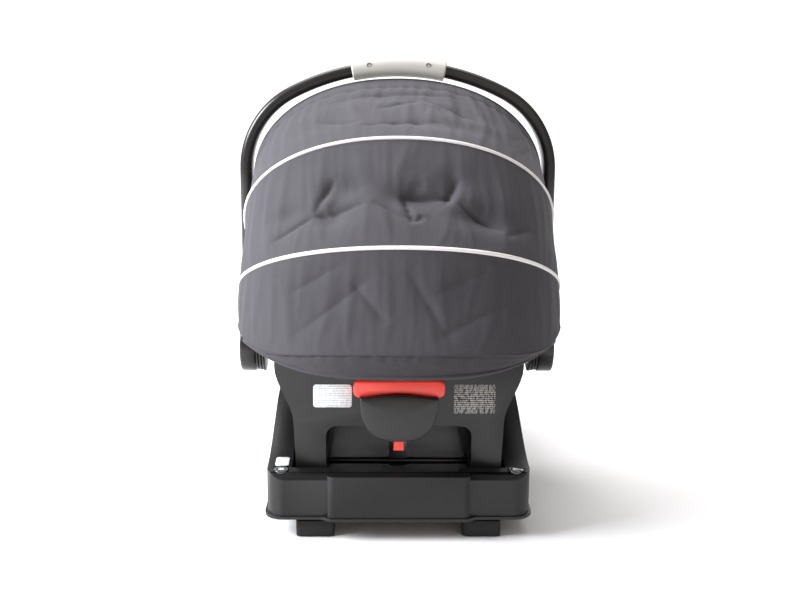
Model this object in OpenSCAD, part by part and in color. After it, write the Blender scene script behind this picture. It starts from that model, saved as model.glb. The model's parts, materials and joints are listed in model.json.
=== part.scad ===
// Infant car seat: a rear-facing carrier with canopy and carry handle, clicked into its base.
// X runs across the seat, -Y is the head end, +Y is the foot end and Z is up, in millimetres.
// The origin is under the middle of the whole seat, on the surface that it stands on.

/* [Overall] */
// Height of the handle's axis above the floor
hub_z = 192; // [186:1:200]
// Distance from the handle's axis forward to the foot end of the shell
foot_reach = 292; // [250:1:340]

/* [Canopy] */
// Radius of the canopy's crown about the handle's axis
canopy_r = 388; // [382:1:389]
// Half width of the canopy at its widest
canopy_half_w = 205; // [203:1:206]
// Radius about the axis at which the canopy is widest
canopy_wide_r = 245; // [220:1:280]
// Exponent of the canopy's arch, 2 for an ellipse and more for squarer shoulders
canopy_square = 2.15; // [2:0.05:3]
// Angle of the front bow behind the vertical
bow_front_a = 3; // [-6:0.5:6]
// Angle of the middle bow behind the vertical
bow_mid_a = 33; // [28:0.5:36]
// Angle of the rear bow behind the vertical
bow_rear_a = 57.5; // [54:0.5:60]
// Angle of the seam between the lowest panel and the hem
hem_a = 79; // [76:0.5:80]
// Radius about the axis at which the panels start
panel_r0 = 100; // [90:1:120]
// Thickness of one canopy panel
panel_t = 1.5; // [1:0.1:2]
// Radial gap between panels that nest when the canopy folds
panel_gap = 1.5; // [0.8:0.1:2]
// Diameter of the piping cord in the canopy seams
piping_d = 5; // [3:0.5:6]
// Width of a bow
bow_w = 8; // [5:0.5:12]
// Thickness of a bow
bow_t = 3.4; // [2.4:0.1:4]

/* [Handle] */
// Half width of the handle at the middle of its tube
handle_half_w = 218; // [217:1:222]
// Height of the middle of the tube above the axis
handle_top = 407; // [406:1:420]
// Radius of the handle's shoulders
shoulder_r = 122; // [100:1:150]
// Radius of the handle's top bar
top_bar_r = 330; // [300:1:380]
// Thickness of the tube, in the plane of the handle
tube_t = 18; // [14:0.5:20]
// Width of the tube, across the plane of the handle
tube_w = 34; // [28:1:40]
// Half length of the grip
grip_half = 67.5; // [55:1:80]
// Thickness of the grip's wall
grip_wall = 5; // [3:0.5:6]
// Distance of a grip screw from the middle
grip_screw_x = 41; // [30:1:46]
// Radius of the hubs
hub_r = 40; // [38:1:44]
// Outer face of the hub caps, from the middle of the seat
cap_x = 231; // [229:1:236]

/* [Carrier] */
// Half width of the shell at its rim
shell_half_w = 172; // [166:1:173]
// Distance from the handle's axis back to the head end of the shell
head_reach = 344; // [330:1:346]
// Wall of the shell
shell_t = 4; // [3:0.5:5]
// Height of the lowest point of the shell's outside
seat_low_z = 102; // [98:1:108]
// Exponent of the shell's sections, more for squarer corners
bowl_square = 2.4; // [2.2:0.1:2.6]
// Height of the rim beside the handle's axis
rim_z = 238; // [230:1:246]
// Thickness of the seat pad
pad_t = 12; // [8:1:16]
// Distance from the handle's axis back to the frame's rear wall
wall_back = 240; // [230:1:246]
// Half width of the frame's rear wall at its top
wall_top_half = 161; // [150:1:166]
// Half width of the frame at its rockers
rocker_half = 137; // [128:1:137]
// Width of one rocker
rocker_w = 42; // [34:1:46]
// Height of the underside of the rear wall, between the rockers
wall_low_z = 144; // [138:1:150]
// Height of the lowest point of the rockers
rocker_z = 58; // [56:1:62]
// Wall of the rocker frame
frame_t = 4; // [3:0.5:5]
// Width of the harness webbing
webbing_w = 38; // [30:1:40]

/* [Release] */
// Width of the release handle
release_w = 118; // [100:1:126]
// Height of the release handle
release_h = 24; // [20:1:26]
// Height of the lower edge of the release handle
release_z = 186; // [184:1:188]
// Width of the cover over the release
cover_w = 101; // [80:1:104]
// Height of the cover's lower edge
cover_low_z = 130; // [126:1:136]
// Width of the release tab
tab_w = 13; // [10:1:14]

/* [Base] */
// Half width of the base
base_half_w = 172; // [170:1:180]
// Distance from the handle's axis back to the base's rear wall
base_back = 268; // [262:1:274]
// Length of the base
base_len = 490; // [470:1:520]
// Height of the rear wall's top edge
base_rear_z = 88; // [84:1:92]
// Height of the side rails at their highest
rail_z = 138; // [120:1:150]
// Wall of the base
base_t = 3.5; // [2.5:0.5:4]
// Height of the channel's floor
channel_z = 48; // [44:1:50]
// Half width of the swollen middle of the rear wall
bulge_half = 92; // [80:1:100]
// How far the middle of the rear wall stands proud
bulge_out = 8; // [5:1:10]
// Height of the feet
foot_h = 22; // [20:1:24]
// Diameter of the latch bars
bar_d = 9; // [8:0.5:10]
// Distance of each latch bar from the middle of the base
bar_y = 150; // [135:1:160]
// Length of the belt opening in each rail
belt_len = 70; // [55:1:80]

/* [Clearances] */
// Clearance between pieces that are fixed together
fit = 0.4; // [0.3:0.1:0.6]
// Clearance round a pin that turns
pin_fit = 0.3; // [0.2:0.05:0.4]
// Clearance beside pieces that slide or turn past each other
slide_gap = 3; // [2.5:0.5:3]

/* [Hidden] */
hub_y = (canopy_r * sin(hem_a + 3) - foot_reach) / 2;
pin_r = 8;
hub_gap = 1.2;
cap_in_x = handle_half_w - tube_t / 2;
collar_x = canopy_half_w - 10;
collar_pitch = (cap_in_x - hub_gap - collar_x) / 2.75;
wall_y = hub_y - wall_back;
base_y0 = hub_y - base_back;
base_y1 = base_y0 + base_len;
base_mid_y = (base_y0 + base_y1) / 2;
bow_pitch = bow_t + 0.6;
nest = panel_t + panel_gap;
bow_inset = 3 * nest + 0.6;
pad_in = shell_t + fit + pad_t;
bar_z = rocker_z + 14;

// ---- shared outlines -------------------------------------------------------------------
function mix(a, b, t) = a + (b - a) * t;
function ease(t) = let (c = max(0, min(1, t))) c * c * (3 - 2 * c);
function arc(cx, cy, r, a0, a1, n) =
    [for (i = [0:n]) let (a = mix(a0, a1, i / n)) [cx + r * cos(a), cy + r * sin(a)]];
function round_rect(w, h, r, n = 4) =
    concat(arc(w / 2 - r, h / 2 - r, r, 0, 90, n), arc(r - w / 2, h / 2 - r, r, 90, 180, n),
           arc(r - w / 2, r - h / 2, r, 180, 270, n), arc(w / 2 - r, r - h / 2, r, 270, 360, n));
function flip(pts) = [for (i = [len(pts) - 1:-1:0]) pts[i]];
function flip_x(pts) = [for (p = flip(pts)) [-p[0], p[1]]];

// Moves its children to the handle's axis.
module at_hub() translate([0, hub_y, hub_z]) children();
// Repeats its children on the left and the right.
module both_sides() for (s = [-1, 1]) scale([s, 1, 1]) children();
// Extrudes an outline of [x, z] points along Y.
module along_y(y0, y1) translate([0, y1, 0]) rotate([90, 0, 0]) linear_extrude(y1 - y0) children();
// Extrudes an outline of [y, z] points along X.
module along_x(x0, x1)
    translate([x0, 0, 0]) rotate([90, 0, 90]) linear_extrude(x1 - x0) children();
// A cylinder along X.
module rod_x(x0, x1, r, fn = 48) translate([x0, 0, 0]) rotate([0, 90, 0])
    cylinder(r = r, h = x1 - x0, $fn = fn);

// Closed solid between the grids a and b; stepping i then j turns outward on a.
module slab(a, b) {
    n = len(a);
    m = len(a[0]);
    o = n * m;
    function quad(p, q, r, s) = [[p, q, r], [p, r, s]];
    skin = [for (i = [0:n - 2], j = [0:m - 2]) [i * m + j, i * m + j + 1, (i + 1) * m + j + 1, (i + 1) * m + j]];
    sides = concat([for (i = [0:n - 2]) each [[i * m, (i + 1) * m], [(i + 1) * m + m - 1, i * m + m - 1]]],
                   [for (j = [0:m - 2]) each [[j + 1, j], [(n - 1) * m + j, (n - 1) * m + j + 1]]]);
    polyhedron(points = concat([for (r = a) each r], [for (r = b) each r]),
               faces = concat([for (f = skin) each quad(f[0], f[1], f[2], f[3])],
                              [for (f = skin) each quad(f[3] + o, f[2] + o, f[1] + o, f[0] + o)],
                              [for (e = sides) each quad(e[0], e[1], e[1] + o, e[0] + o)]),
               convexity = 8);
}

// ---- the seat's bowl: plan, rim and floor ------------------------------------------------
function signed_pow(v, p) = (v < 0 ? -1 : 1) * pow(abs(v), p);
// Height of the shell's underside along the middle; y is measured from the handle's axis.
function floor_z(y) = y < 50
    ? seat_low_z + 150 * pow((50 - y) / 290, 1.6)
    : seat_low_z + 96 * pow((y - 50) / 240, 1.9);
// Height of the rim.
function rim_height(y) = y < -70
    ? rim_z + 56 * pow((-y - 70) / (head_reach - 70), 1.5)
    : rim_z - 10 * ease(y / 120) + 26 * ease((y - 120) / (foot_reach - 120));
// Point of the bowl at angle u round the plan and share s out from the middle, moved in by d.
function bowl_point(u, s, d) =
    let (half = (head_reach + foot_reach) / 2, mid = (foot_reach - head_reach) / 2,
         x = (shell_half_w - d) * signed_pow(cos(u), 2 / 2.8) * s,
         rim_y = mid + (half - d) * signed_pow(sin(u), 2 / 2.8),
         y = mid + (rim_y - mid) * s,
         low = floor_z(y) + d, top = rim_height(rim_y),
         z = top - (top - low) * pow(1 - pow(s, bowl_square), 1 / bowl_square))
    [x, y + hub_y, z];
// Closed bowl between the insets a, outside, and b, inside.
module bowl(a, b, n = 40) {
    shares = [1, 0.985, 0.95, 0.89, 0.8, 0.66, 0.48, 0.26];
    m = len(shares);
    o = n * m;
    skin = [for (i = [0:n - 1], j = [0:m - 2])
            let (k = (i + 1) % n) [i * m + j, k * m + j, k * m + j + 1, i * m + j + 1]];
    polyhedron(
        points = concat([for (i = [0:n - 1], s = shares) bowl_point(i * 360 / n, s, a)],
                        [for (i = [0:n - 1], s = shares) bowl_point(i * 360 / n, s, b)],
                        [bowl_point(0, 0, a), bowl_point(0, 0, b)]),
        faces = concat([for (f = skin) each [[f[0], f[2], f[1]], [f[0], f[3], f[2]]]],
                       [for (f = skin) each [[f[0] + o, f[1] + o, f[2] + o], [f[0] + o, f[2] + o, f[3] + o]]],
                       [for (i = [0:n - 1]) let (k = (i + 1) % n) [i * m + m - 1, 2 * o, k * m + m - 1]],
                       [for (i = [0:n - 1]) let (k = (i + 1) % n)
                        [i * m + m - 1 + o, k * m + m - 1 + o, 2 * o + 1]],
                       [for (i = [0:n - 1]) let (k = (i + 1) % n)
                        each [[i * m, k * m, k * m + o], [i * m, k * m + o, i * m + o]]]),
        convexity = 8);
}
// Part of the bowl between angles u0 and u1, shares s0 and s1 and insets a and b.
module bowl_patch(u0, u1, s0, s1, a, b, n = 16, m = 8)
    slab([for (i = [0:n]) [for (j = [0:m]) bowl_point(mix(u0, u1, i / n), mix(s0, s1, j / m), b)]],
         [for (i = [0:n]) [for (j = [0:m]) bowl_point(mix(u0, u1, i / n), mix(s0, s1, j / m), a)]]);
// Height of the pad's surface at x and y, from the ring of the bowl that passes through the point.
function pad_height(x, y) =
    let (d = pad_in, half = (head_reach + foot_reach) / 2, mid = (foot_reach - head_reach) / 2,
         s = max(0.001, pow(pow(abs(x / (shell_half_w - d)), 2.8) + pow(abs((y - mid) / (half - d)), 2.8), 1 / 2.8)),
         top = rim_height(mid + (y - mid) / s))
    top - (top - floor_z(y) - d) * pow(1 - pow(min(s, 0.999), bowl_square), 1 / bowl_square);
function pad_z(y) = pad_height(0, y) + 2;
// Slope of that surface, in degrees, rising toward the foot end.
function pad_slope(y) = atan2(pad_z(y + 4) - pad_z(y - 4), 8);

// Band lying over the pad from y0 to y1, with its middle going from x0 to x1, width w and
// thickness t, at a height above the pad that the function lift gives at each y.
module band(y0, y1, x0, x1, w, t, lift, n = 14) {
    spots = [for (i = [0:n]) let (k = i / n, y = mix(y0, y1, k)) [mix(x0, x1, k), y, pad_slope(y)]];
    function side(p, dx, dz) =
        let (x = p[0] + dx, base = max(pad_height(x, p[1]), pad_z(p[1])) + lift(p[1]))
        [x, p[1] + hub_y - dz * sin(p[2]), base + dz * cos(p[2])];
    slab([for (p = spots) [side(p, w / 2, t), side(p, -w / 2, t)]],
         [for (p = spots) [side(p, w / 2, 0), side(p, -w / 2, 0)]]);
}
// Puts its children on the pad's surface at y, turned to lie along it.
module on_pad(y, lift = 0)
    translate([0, y + hub_y, pad_z(y)]) rotate([pad_slope(y), 0, 0]) translate([0, 0, lift]) children();

// ---- base --------------------------------------------------------------------------------
// Height of the rails' top, inset by d; y is measured from the rear wall.
function rail_top(y) = base_rear_z + (rail_z - base_rear_z) * ease((y - 25) / (base_len - 275))
    - (rail_z - 98) * ease((y - base_len + 200) / 190);
// Side outline of the base from height low to the rails' top, moved in by d all round.
function base_side(d, low) =
    let (n = 22, y0 = base_y0 + d, y1 = base_y1 - d)
    concat([[y1, low], [y1, rail_top(base_len) - 16 - d]],
           [for (i = [n:-1:0]) let (y = mix(10, base_len - 14, i / n))
            [base_y0 + y + d * (1 - 2 * i / n), rail_top(y) - d]],
           [[y0, rail_top(0) - 8 - d], [y0, low]]);
// Plan of the base, moved in by d, with its swollen middle at the rear.
function base_plan(d) =
    let (w = base_half_w - d, y0 = base_y0 + d, y1 = base_y1 - d, r = 24, b = bulge_half - d)
    concat(arc(w - r, y1 - r, r, 0, 90, 5), arc(r - w, y1 - r, r, 90, 180, 5),
           arc(r - w, y0 + r, r, 180, 270, 5),
           [[-b - 8, y0], [-b - 3, y0 - 1.5], [-b, y0 - bulge_out / 2], [-b + 4, y0 - bulge_out + 1], [-b + 9, y0 - bulge_out],
            [b - 9, y0 - bulge_out], [b - 4, y0 - bulge_out + 1], [b, y0 - bulge_out / 2], [b + 3, y0 - 1.5], [b + 8, y0]],
           arc(w - r, y0 + r, r, 270, 360, 5));
module base_block(d, low, high) intersection() {
    union() {
        along_x(d - base_half_w, base_half_w - d) polygon(base_side(d, low));
        translate([-bulge_half, base_y0 - bulge_out, low])
            cube([2 * bulge_half, bulge_out + 30, high - low]);
    }
    translate([0, 0, low]) linear_extrude(rail_z + 10 - low) polygon(base_plan(d));
}
module base_shell() color("#232323") difference() {
    union() {
        base_block(0, foot_h + 5, base_rear_z - 1);
        translate([0, 0, foot_h + 5]) linear_extrude(4) polygon(base_plan(-3));
    }
    // hollow underneath
    intersection() {
        base_block(base_t, foot_h, base_rear_z - 1 - base_t);
        union() {
            translate([-300, -400, 0]) cube([600, 800, channel_z - base_t]);
            both_sides() translate([rocker_half + slide_gap + base_t, base_y0 + 34, 0])
                cube([100, base_len - 60, 300]);
        }
    }
    // channel that takes the rockers, open at the foot end above its floor
    translate([-rocker_half - slide_gap, base_y0 + base_t + 22, channel_z])
        cube([2 * (rocker_half + slide_gap), base_len - base_t - 22 - 26, 200]);
    // deck between the rear wall and the channel is stepped down
    translate([-bulge_half + 14, base_y0 + 12, base_rear_z - 8]) cube([2 * bulge_half - 28, 20, 30]);
    // seat-belt opening through both rails
    both_sides() translate([rocker_half, base_mid_y + 35, rail_z - 54]) cube([60, belt_len, 30]);
    // sockets for the latch bars, the gauges and the recline foot
    for (y = [-bar_y, bar_y]) translate([0, base_mid_y + y, bar_z])
        rod_x(-rocker_half - slide_gap - 6, rocker_half + slide_gap + 6, bar_d / 2 + fit / 2);
    both_sides() translate([base_half_w - 19, base_y0 + 17, base_rear_z - 3.4]) cylinder(r = 10.4, h = 20, $fn = 48);
    translate([-recline_w / 2 - fit, recline_y - recline_l / 2 - fit, 0])
        cube([recline_w + 2 * fit, recline_l + 2 * fit, channel_z - base_t - 0.01]);
    translate([0, base_y1 - 16, 56]) rotate([-90, 0, 0]) cylinder(r = 13.5, h = 30, $fn = 48);
}
recline_w = 150;
recline_l = 70;
recline_y = base_y1 - 80;
module base_floor() color("#2b2b2b") difference() {
    translate([0, 0, foot_h]) linear_extrude(3) polygon(base_plan(9));
    translate([-recline_w / 2 - 2, recline_y - recline_l / 2 - 2, 0]) cube([recline_w + 4, recline_l + 4, 60]);
}
module rear_foot(s) color("#1b1b1b") difference() {
    translate([s * 109, base_y0 + 21, 0]) linear_extrude(foot_h - 0.01) polygon(round_rect(50, 32, 6));
    for (y = [-10, 0, 10]) translate([s * 109 - 30, base_y0 + 20 + y, -1]) cube([60, 2, 2.5]);
}
module rear_foot_left() rear_foot(-1);
module rear_foot_right() rear_foot(1);
module latch_bar(y) color("#b8babd") translate([0, base_mid_y + y, bar_z])
    rod_x(-rocker_half - slide_gap - 5, rocker_half + slide_gap + 5, bar_d / 2);
module latch_bar_rear() latch_bar(-bar_y);
module latch_bar_front() latch_bar(bar_y);
module level_gauge(s) color("#d9dcdc")
    translate([s * (base_half_w - 19), base_y0 + 17, base_rear_z - 3]) cylinder(r = 10, h = 4, $fn = 48);
module level_gauge_left() level_gauge(-1);
module level_gauge_right() level_gauge(1);
module belt_hook(s) color("#1e1e1e") scale([s, 1, 1])
    translate([0, base_mid_y + 35 + belt_len + 1, 0]) difference() {
        along_x(rocker_half + slide_gap + base_t + 1, base_half_w - base_t - 1)
            polygon([[2, rail_z - 52], [20, rail_z - 52], [24, rail_z - 34], [12, rail_z - 28], [2, rail_z - 30]]);
        translate([rocker_half, 8, rail_z - 44]) cube([60, 8, 8]);
    }
module belt_hook_left() belt_hook(-1);
module belt_hook_right() belt_hook(1);
module base_badge() color("#f2f2f0") translate([-(base_half_w - 19), base_y0 + 40, rail_top(40) + 1.6])
    rotate([atan2(rail_top(44) - rail_top(36), 8), 0, 0]) linear_extrude(1) polygon(round_rect(18, 26, 4));
module recline_foot() color("#303030") difference() {
    translate([-recline_w / 2 + 1, recline_y - recline_l / 2 + 1, 4]) cube([recline_w - 2, recline_l - 2, 36]);
    translate([-recline_w / 2 + 5, recline_y - recline_l / 2 + 5, 8]) cube([recline_w - 10, recline_l - 10, 40]);
    both_sides() translate([recline_w / 2 - 9, recline_y - 8, 14]) cube([20, 16, 4]);
}
module recline_pads() color("#161616") both_sides()
    translate([recline_w / 2 - 26, recline_y, 0]) linear_extrude(4 - 0.01) polygon(round_rect(44, recline_l - 10, 6));
module recline_button() color("#8d9092") translate([0, base_y1 - 9.2, 56]) rotate([-90, 0, 0]) {
    cylinder(r = 13, h = 10.5, $fn = 48);
    for (x = [-6, 0, 6]) translate([x - 1, -7, 10.5]) cube([2, 14, 1]);
}

// ---- carrier ------------------------------------------------------------------------------
module carrier_shell() color("#262626") bowl(0, shell_t);

// Half of the rear outline of the frame, moved in by d, from the inner foot of a rocker out.
function frame_half(d) =
    let (leg_in = rocker_half - rocker_w)
    concat([[leg_in + d, rocker_z - 20 + d]], [[rocker_half - 5 - d, rocker_z - 20 + d]],
           [for (i = [0:8]) [mix(rocker_half, wall_top_half, ease(i / 8)) - d, mix(wall_low_z + 4, wall_low_z + 80, i / 8)]],
           [[wall_top_half - d, 320]]);
function frame_rear(d) =
    let (leg_in = rocker_half - rocker_w + d, r = 14, top = wall_low_z + d)
    concat(frame_half(d), flip_x(frame_half(d)),
           arc(r - leg_in, top - r, r, 180, 90, 5), arc(leg_in - r, top - r, r, 90, 0, 5));
// Height of the rockers' underside, an arc that is lowest in the middle.
function rocker_low(y) = rocker_z + 9 * pow((y + 10) / 235, 2);
frame_front = base_y1 - 26 - slide_gap - hub_y;
// Side outline of the frame, moved in by d; y is measured from the handle's axis.
function frame_side(d) =
    let (n = 16, y0 = -wall_back + d, y1 = frame_front - d)
    concat([for (i = [0:n]) let (y = mix(y0, y1, i / n)) [y + hub_y, rocker_low(y) + d]],
           [for (i = [n:-1:0]) let (y = mix(y0, y1, i / n)) [y + hub_y, floor_z(y) - fit - 0.6 + (d > 0 ? 60 : 0)]]);
module rocker_frame() color("#202020") difference() {
    union() {
        intersection() {
            along_y(wall_y, hub_y + frame_front) polygon(frame_rear(0));
            along_x(-200, 200) polygon(frame_side(0));
        }
        // cross tie between the rockers at the foot end
        translate([-rocker_half + rocker_w - 2, hub_y + frame_front - 24, floor_z(frame_front - 24) - 20])
            cube([2 * (rocker_half - rocker_w + 2), 24, 16]);
    }
    intersection() {
        along_y(wall_y + frame_t, hub_y + frame_front - frame_t) polygon(frame_rear(frame_t));
        along_x(-200, 200) polygon(frame_side(frame_t));
    }
    // notches that sit over the latch bars
    for (y = [-bar_y, bar_y]) translate([-200, base_mid_y + y - bar_d / 2 - slide_gap, 0])
        cube([400, bar_d + 2 * slide_gap, bar_z + bar_d / 2 + slide_gap]);
    // way through for the latch hooks
    for (s = [-1, 1]) translate([-hook_w / 2 - 2, base_mid_y + s * bar_y + hook_off - 26, hook_z(s)])
        cube([hook_w + 4, 46, frame_t + 30]);
}
// Height of a latch hook's pin: under the frame at the head end, under the shell at the foot end.
function hook_z(s) = min(wall_low_z, floor_z(base_mid_y + s * bar_y - hub_y) - 4) - 10;
// Two ears beside each latch hook, which hold its pin.
module hook_lugs() color("#202020") for (e = [-1, 1], s = [-1, 1]) difference() {
    translate([s * (hook_w / 2 + 5) - 3, base_mid_y + e * bar_y + hook_off - 1, hook_z(e) - 8]) cube([6, 16, 18 - 0.02]);
    translate([0, base_mid_y + e * bar_y + hook_off + 7, hook_z(e)]) rod_x(-60, 60, 3.02);
}
module hook_pins() color("#a4a6a9") for (e = [-1, 1])
    translate([0, base_mid_y + e * bar_y + hook_off + 7, hook_z(e)]) rod_x(-hook_w / 2 - 9, hook_w / 2 + 9, 3);
module release_cover() color("#3a3b3d") difference() {
    union() {
        along_y(wall_y - 22, wall_y - 16) polygon(cover_outline(0));
        intersection() {
            along_y(wall_y - 17, wall_y - 0.01) polygon(cover_outline(2));
            translate([-100, wall_y - 40, 0]) cube([200, 60, release_z - 1.5]);
        }
    }
    translate([-tab_w / 2 - 1, wall_y - 12, 0]) cube([tab_w + 2, 8, 400]);
}
// Outline of the cover, moved in by d: a crowned top edge over a deep squared half ellipse.
function cover_outline(d) =
    let (w = cover_w / 2 - d, top = release_z + 2 - d, tall = top - cover_low_z - d)
    concat([for (i = [6:-1:-6]) [w * i / 6, top + 4 * cos(15 * i)]],
           [for (i = [1:17]) let (t = 180 + 10 * i)
            [w * signed_pow(cos(t), 2 / 2.6), top - tall * pow(abs(sin(t)), 2 / 2.6)]]);
module care_label() color("#eceeec") along_y(wall_y - 0.8, wall_y - 0.01)
    translate([-release_w / 2 - 27, 185]) polygon(round_rect(50, 31, 4));
module warning_label() color("#d4d2cc") along_y(wall_y - 0.6, wall_y - 0.01)
    translate([98, 181]) polygon(round_rect(54, 39, 2));
module hub_collar(s) color("#2c2c2c") at_hub() scale([s, 1, 1]) difference() {
    union() {
        for (i = [0:2]) rod_x(collar_x + i * collar_pitch, collar_x + (i + 0.75) * collar_pitch, hub_r - i * 0.8);
        rod_x(collar_x, cap_in_x - hub_gap, hub_r - 4);
    }
    rod_x(collar_x - 1, cap_in_x + 1, pin_r + fit / 2);
}
module hub_collar_left() hub_collar(-1);
module hub_collar_right() hub_collar(1);
module pivot_pins() color("#9a9c9f") at_hub() both_sides() {
    rod_x(shell_half_w + 0.5, cap_in_x + 6, pin_r);
    rod_x(shell_half_w + 0.5, shell_half_w + 2.5, pin_r + 6);
}
module seat_pad() color("#4a484c") bowl(shell_t + fit, pad_in);
module head_support() color("#55535a") bowl_patch(212, 328, 0.57, 0.88, pad_in + 3, pad_in + 20);
strap_y0 = -138;
strap_y1 = 44;
strap_lift = 3;
strap_crown = 9;
strap_t = 1.6;
// Height of the straps above the pad: they bow up between the shoulders and the buckle.
function strap_height(y) = strap_lift + strap_crown * sin(180 * (y - strap_y0) / (strap_y1 - strap_y0));
module harness(s) color("#303032")
    band(strap_y0, strap_y1, s * 40, s * 26, webbing_w, strap_t, function(y) strap_height(y), 18);
module harness_left() harness(-1);
module harness_right() harness(1);
// Pad over one strap, from the shoulder down to above the chest clip.
module shoulder_pad(s) color("#4c4a50")
    band(-128, -66, s * 39.2, s * 34.5, webbing_w + 10, 8, function(y) strap_height(y) + strap_t + 1.6, 10);
module shoulder_pad_left() shoulder_pad(-1);
module shoulder_pad_right() shoulder_pad(1);
module crotch_strap() color("#303032") band(84, 120, 0, 0, webbing_w, 1.8, function(y) 3, 4);
buckle_y = 64;
buckle_lift = 5;
module buckle() color("#2a2a2c") on_pad(buckle_y, buckle_lift) difference() {
    translate([0, 0, 0]) linear_extrude(22) polygon(round_rect(62, 34, 9));
    translate([0, 0, 12]) linear_extrude(30) polygon(round_rect(26.8, 22.8, 5));
    both_sides() translate([14, -30, 9]) cube([13, 26, 5]);
}
module buckle_tongues() color("#b8babd") on_pad(buckle_y, buckle_lift) both_sides()
    translate([15, -19.6, 9.5]) cube([11, 14, 4]);
module buckle_button() color("#e8402f") on_pad(buckle_y, buckle_lift) difference() {
    translate([0, 0, 16.4]) linear_extrude(7) polygon(round_rect(26, 22, 4.6));
    translate([0, 0, 42]) sphere(r = 20.2, $fn = 48);
}
clip_y = -14;
module chest_clip() color("#2a2a2c") on_pad(clip_y, strap_lift + strap_crown + 8) difference() {
    linear_extrude(9) polygon(round_rect(104, 34, 8));
    translate([0, 0, 6]) linear_extrude(10) polygon(round_rect(30, 18, 4));
}
adjuster_y = 178;
module adjuster_housing() color("#262626") on_pad(adjuster_y, 3.5) difference() {
    linear_extrude(11) polygon(round_rect(50, 44, 8));
    translate([-15, -12, 4]) cube([30, 60, 8]);
}
module adjuster_button() color("#7d8083") on_pad(adjuster_y, 3.5) difference() {
    translate([-14, -11, 8]) cube([28, 22, 5]);
    for (y = [-6, -1, 4]) translate([-10, y, 12.2]) cube([20, 2, 2]);
}
module adjuster_strap() color("#303032") band(adjuster_y + 26, foot_reach - 44, 0, 0, 25, 1.6, function(y) 2, 6);
module harness_yoke() color("#a9abae") along_y(wall_y + frame_t + 3, wall_y + frame_t + 5) difference() {
    translate([0, 172]) polygon(round_rect(70, 40, 8));
    for (x = [-20, 20]) translate([x, 180]) polygon(round_rect(22, 6, 2));
    translate([0, 164]) polygon(round_rect(30, 6, 2));
}
module release_handle() color("#f03c30") difference() {
    translate([0, wall_y - 15.4, release_z + release_h / 2]) rotate([-90, 0, 0]) linear_extrude(15)
        polygon(round_rect(release_w, release_h, 9));
    translate([0, wall_y - 8, release_z - 112]) rotate([90, 0, 0]) cylinder(r = 118, h = 40, center = true, $fn = 128);
}
module release_tab() color("#e23a2c") translate([-tab_w / 2, wall_y - 10, cover_low_z - 16])
    cube([tab_w, 4, release_z + 5.5 - cover_low_z + 16]);
hook_w = 24;
hook_off = 4;
module latch_hook(s) color("#8f9194") translate([0, base_mid_y + s * bar_y + hook_off, 0]) difference() {
    along_x(-hook_w / 2, hook_w / 2)
        polygon([[2, hook_z(s) + 6], [12, hook_z(s) + 6], [12, bar_z - 8], [8, bar_z - 12], [2.8, bar_z - 8]]);
    translate([0, 7, hook_z(s)]) rod_x(-40, 40, 3 + pin_fit);
}
module latch_hook_rear() latch_hook(-1);
module latch_hook_front() latch_hook(1);

// ---- handle -------------------------------------------------------------------------------
sweep_a = acos((handle_half_w - shoulder_r) / (top_bar_r - shoulder_r));
top_z = handle_top - top_bar_r;
shoulder_z = top_z + (top_bar_r - shoulder_r) * sin(sweep_a);
// Bends an outline, given across the tube, round the top bar between two angles.
module top_bend(a0, a1) rotate([90, 0, 0]) translate([0, top_z, 0]) rotate([0, 0, a0])
    rotate_extrude(angle = a1 - a0, $fn = 180) translate([top_bar_r, 0]) children();
arm_foot = hub_r + 6;
// Stations up one arm, over the top and down the other: [x, z, direction of the outside].
function handle_stations() =
    let (shoulder = [for (i = [0:8]) let (a = sweep_a * i / 8)
                     [handle_half_w - shoulder_r + shoulder_r * cos(a), shoulder_z + shoulder_r * sin(a), a]],
         bar = [for (i = [1:15]) let (a = mix(sweep_a, 180 - sweep_a, i / 16))
                [top_bar_r * cos(a), top_z + top_bar_r * sin(a), a]],
         right = concat([[handle_half_w, arm_foot + 0.02, 0]], shoulder))
    concat(right, bar, [for (p = flip(right)) [-p[0], p[1], 180 - p[2]]]);
module handle_tube() color("#242424") at_hub() {
    spots = handle_stations();
    outline = round_rect(tube_t, tube_w, 8);
    n = len(spots);
    m = len(outline);
    polyhedron(points = [for (s = spots, p = outline) [s[0] + p[0] * cos(s[2]), p[1], s[1] + p[0] * sin(s[2])]],
               faces = concat([[for (j = [0:m - 1]) j]], [[for (j = [m - 1:-1:0]) (n - 1) * m + j]],
                              [for (i = [0:n - 2], j = [0:m - 1]) let (k = (j + 1) % m)
                               each [[i * m + j, (i + 1) * m + j, (i + 1) * m + k], [i * m + j, (i + 1) * m + k, i * m + k]]]),
               convexity = 6);
}
grip_a = grip_half / (top_bar_r + 6) * 180 / PI;
module grip_outline(d) polygon(round_rect(tube_t + 2 * d, tube_w + 2 * d, 8 + d, 5));
// One half of the grip: the back one, toward the head end, has the screws.
module grip_half_ring(out) difference() {
    top_bend(90 - grip_a, 90 + grip_a) difference() {
        grip_outline(grip_wall);
        grip_outline(fit / 2);
        translate([-60, out > 0 ? -60 : 0]) square([120, 60]);
    }
    if (out > 0) for (s = [-1, 1]) at_screw(s) cylinder(r = 2.8, h = 20, center = true, $fn = 24);
}
// The place of a grip screw on the side s, on the grip's back face, with Z pointing out of it.
module at_screw(s) translate([0, 0, top_z]) rotate([0, s * grip_screw_x / top_bar_r * 180 / PI, 0])
    translate([0, -tube_w / 2, top_bar_r + 5]) rotate([90, 0, 0]) children();
module grip_front() color("#bdbab4") at_hub() grip_half_ring(-1);
module grip_back() color("#c8c6c0") at_hub() grip_half_ring(1);
module grip_screws() color("#4a4a4c") at_hub() for (s = [-1, 1]) at_screw(s)
    translate([0, 0, 0.6]) cylinder(r = 2.5, h = 2.4, $fn = 32);
button_r = 15;
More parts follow.
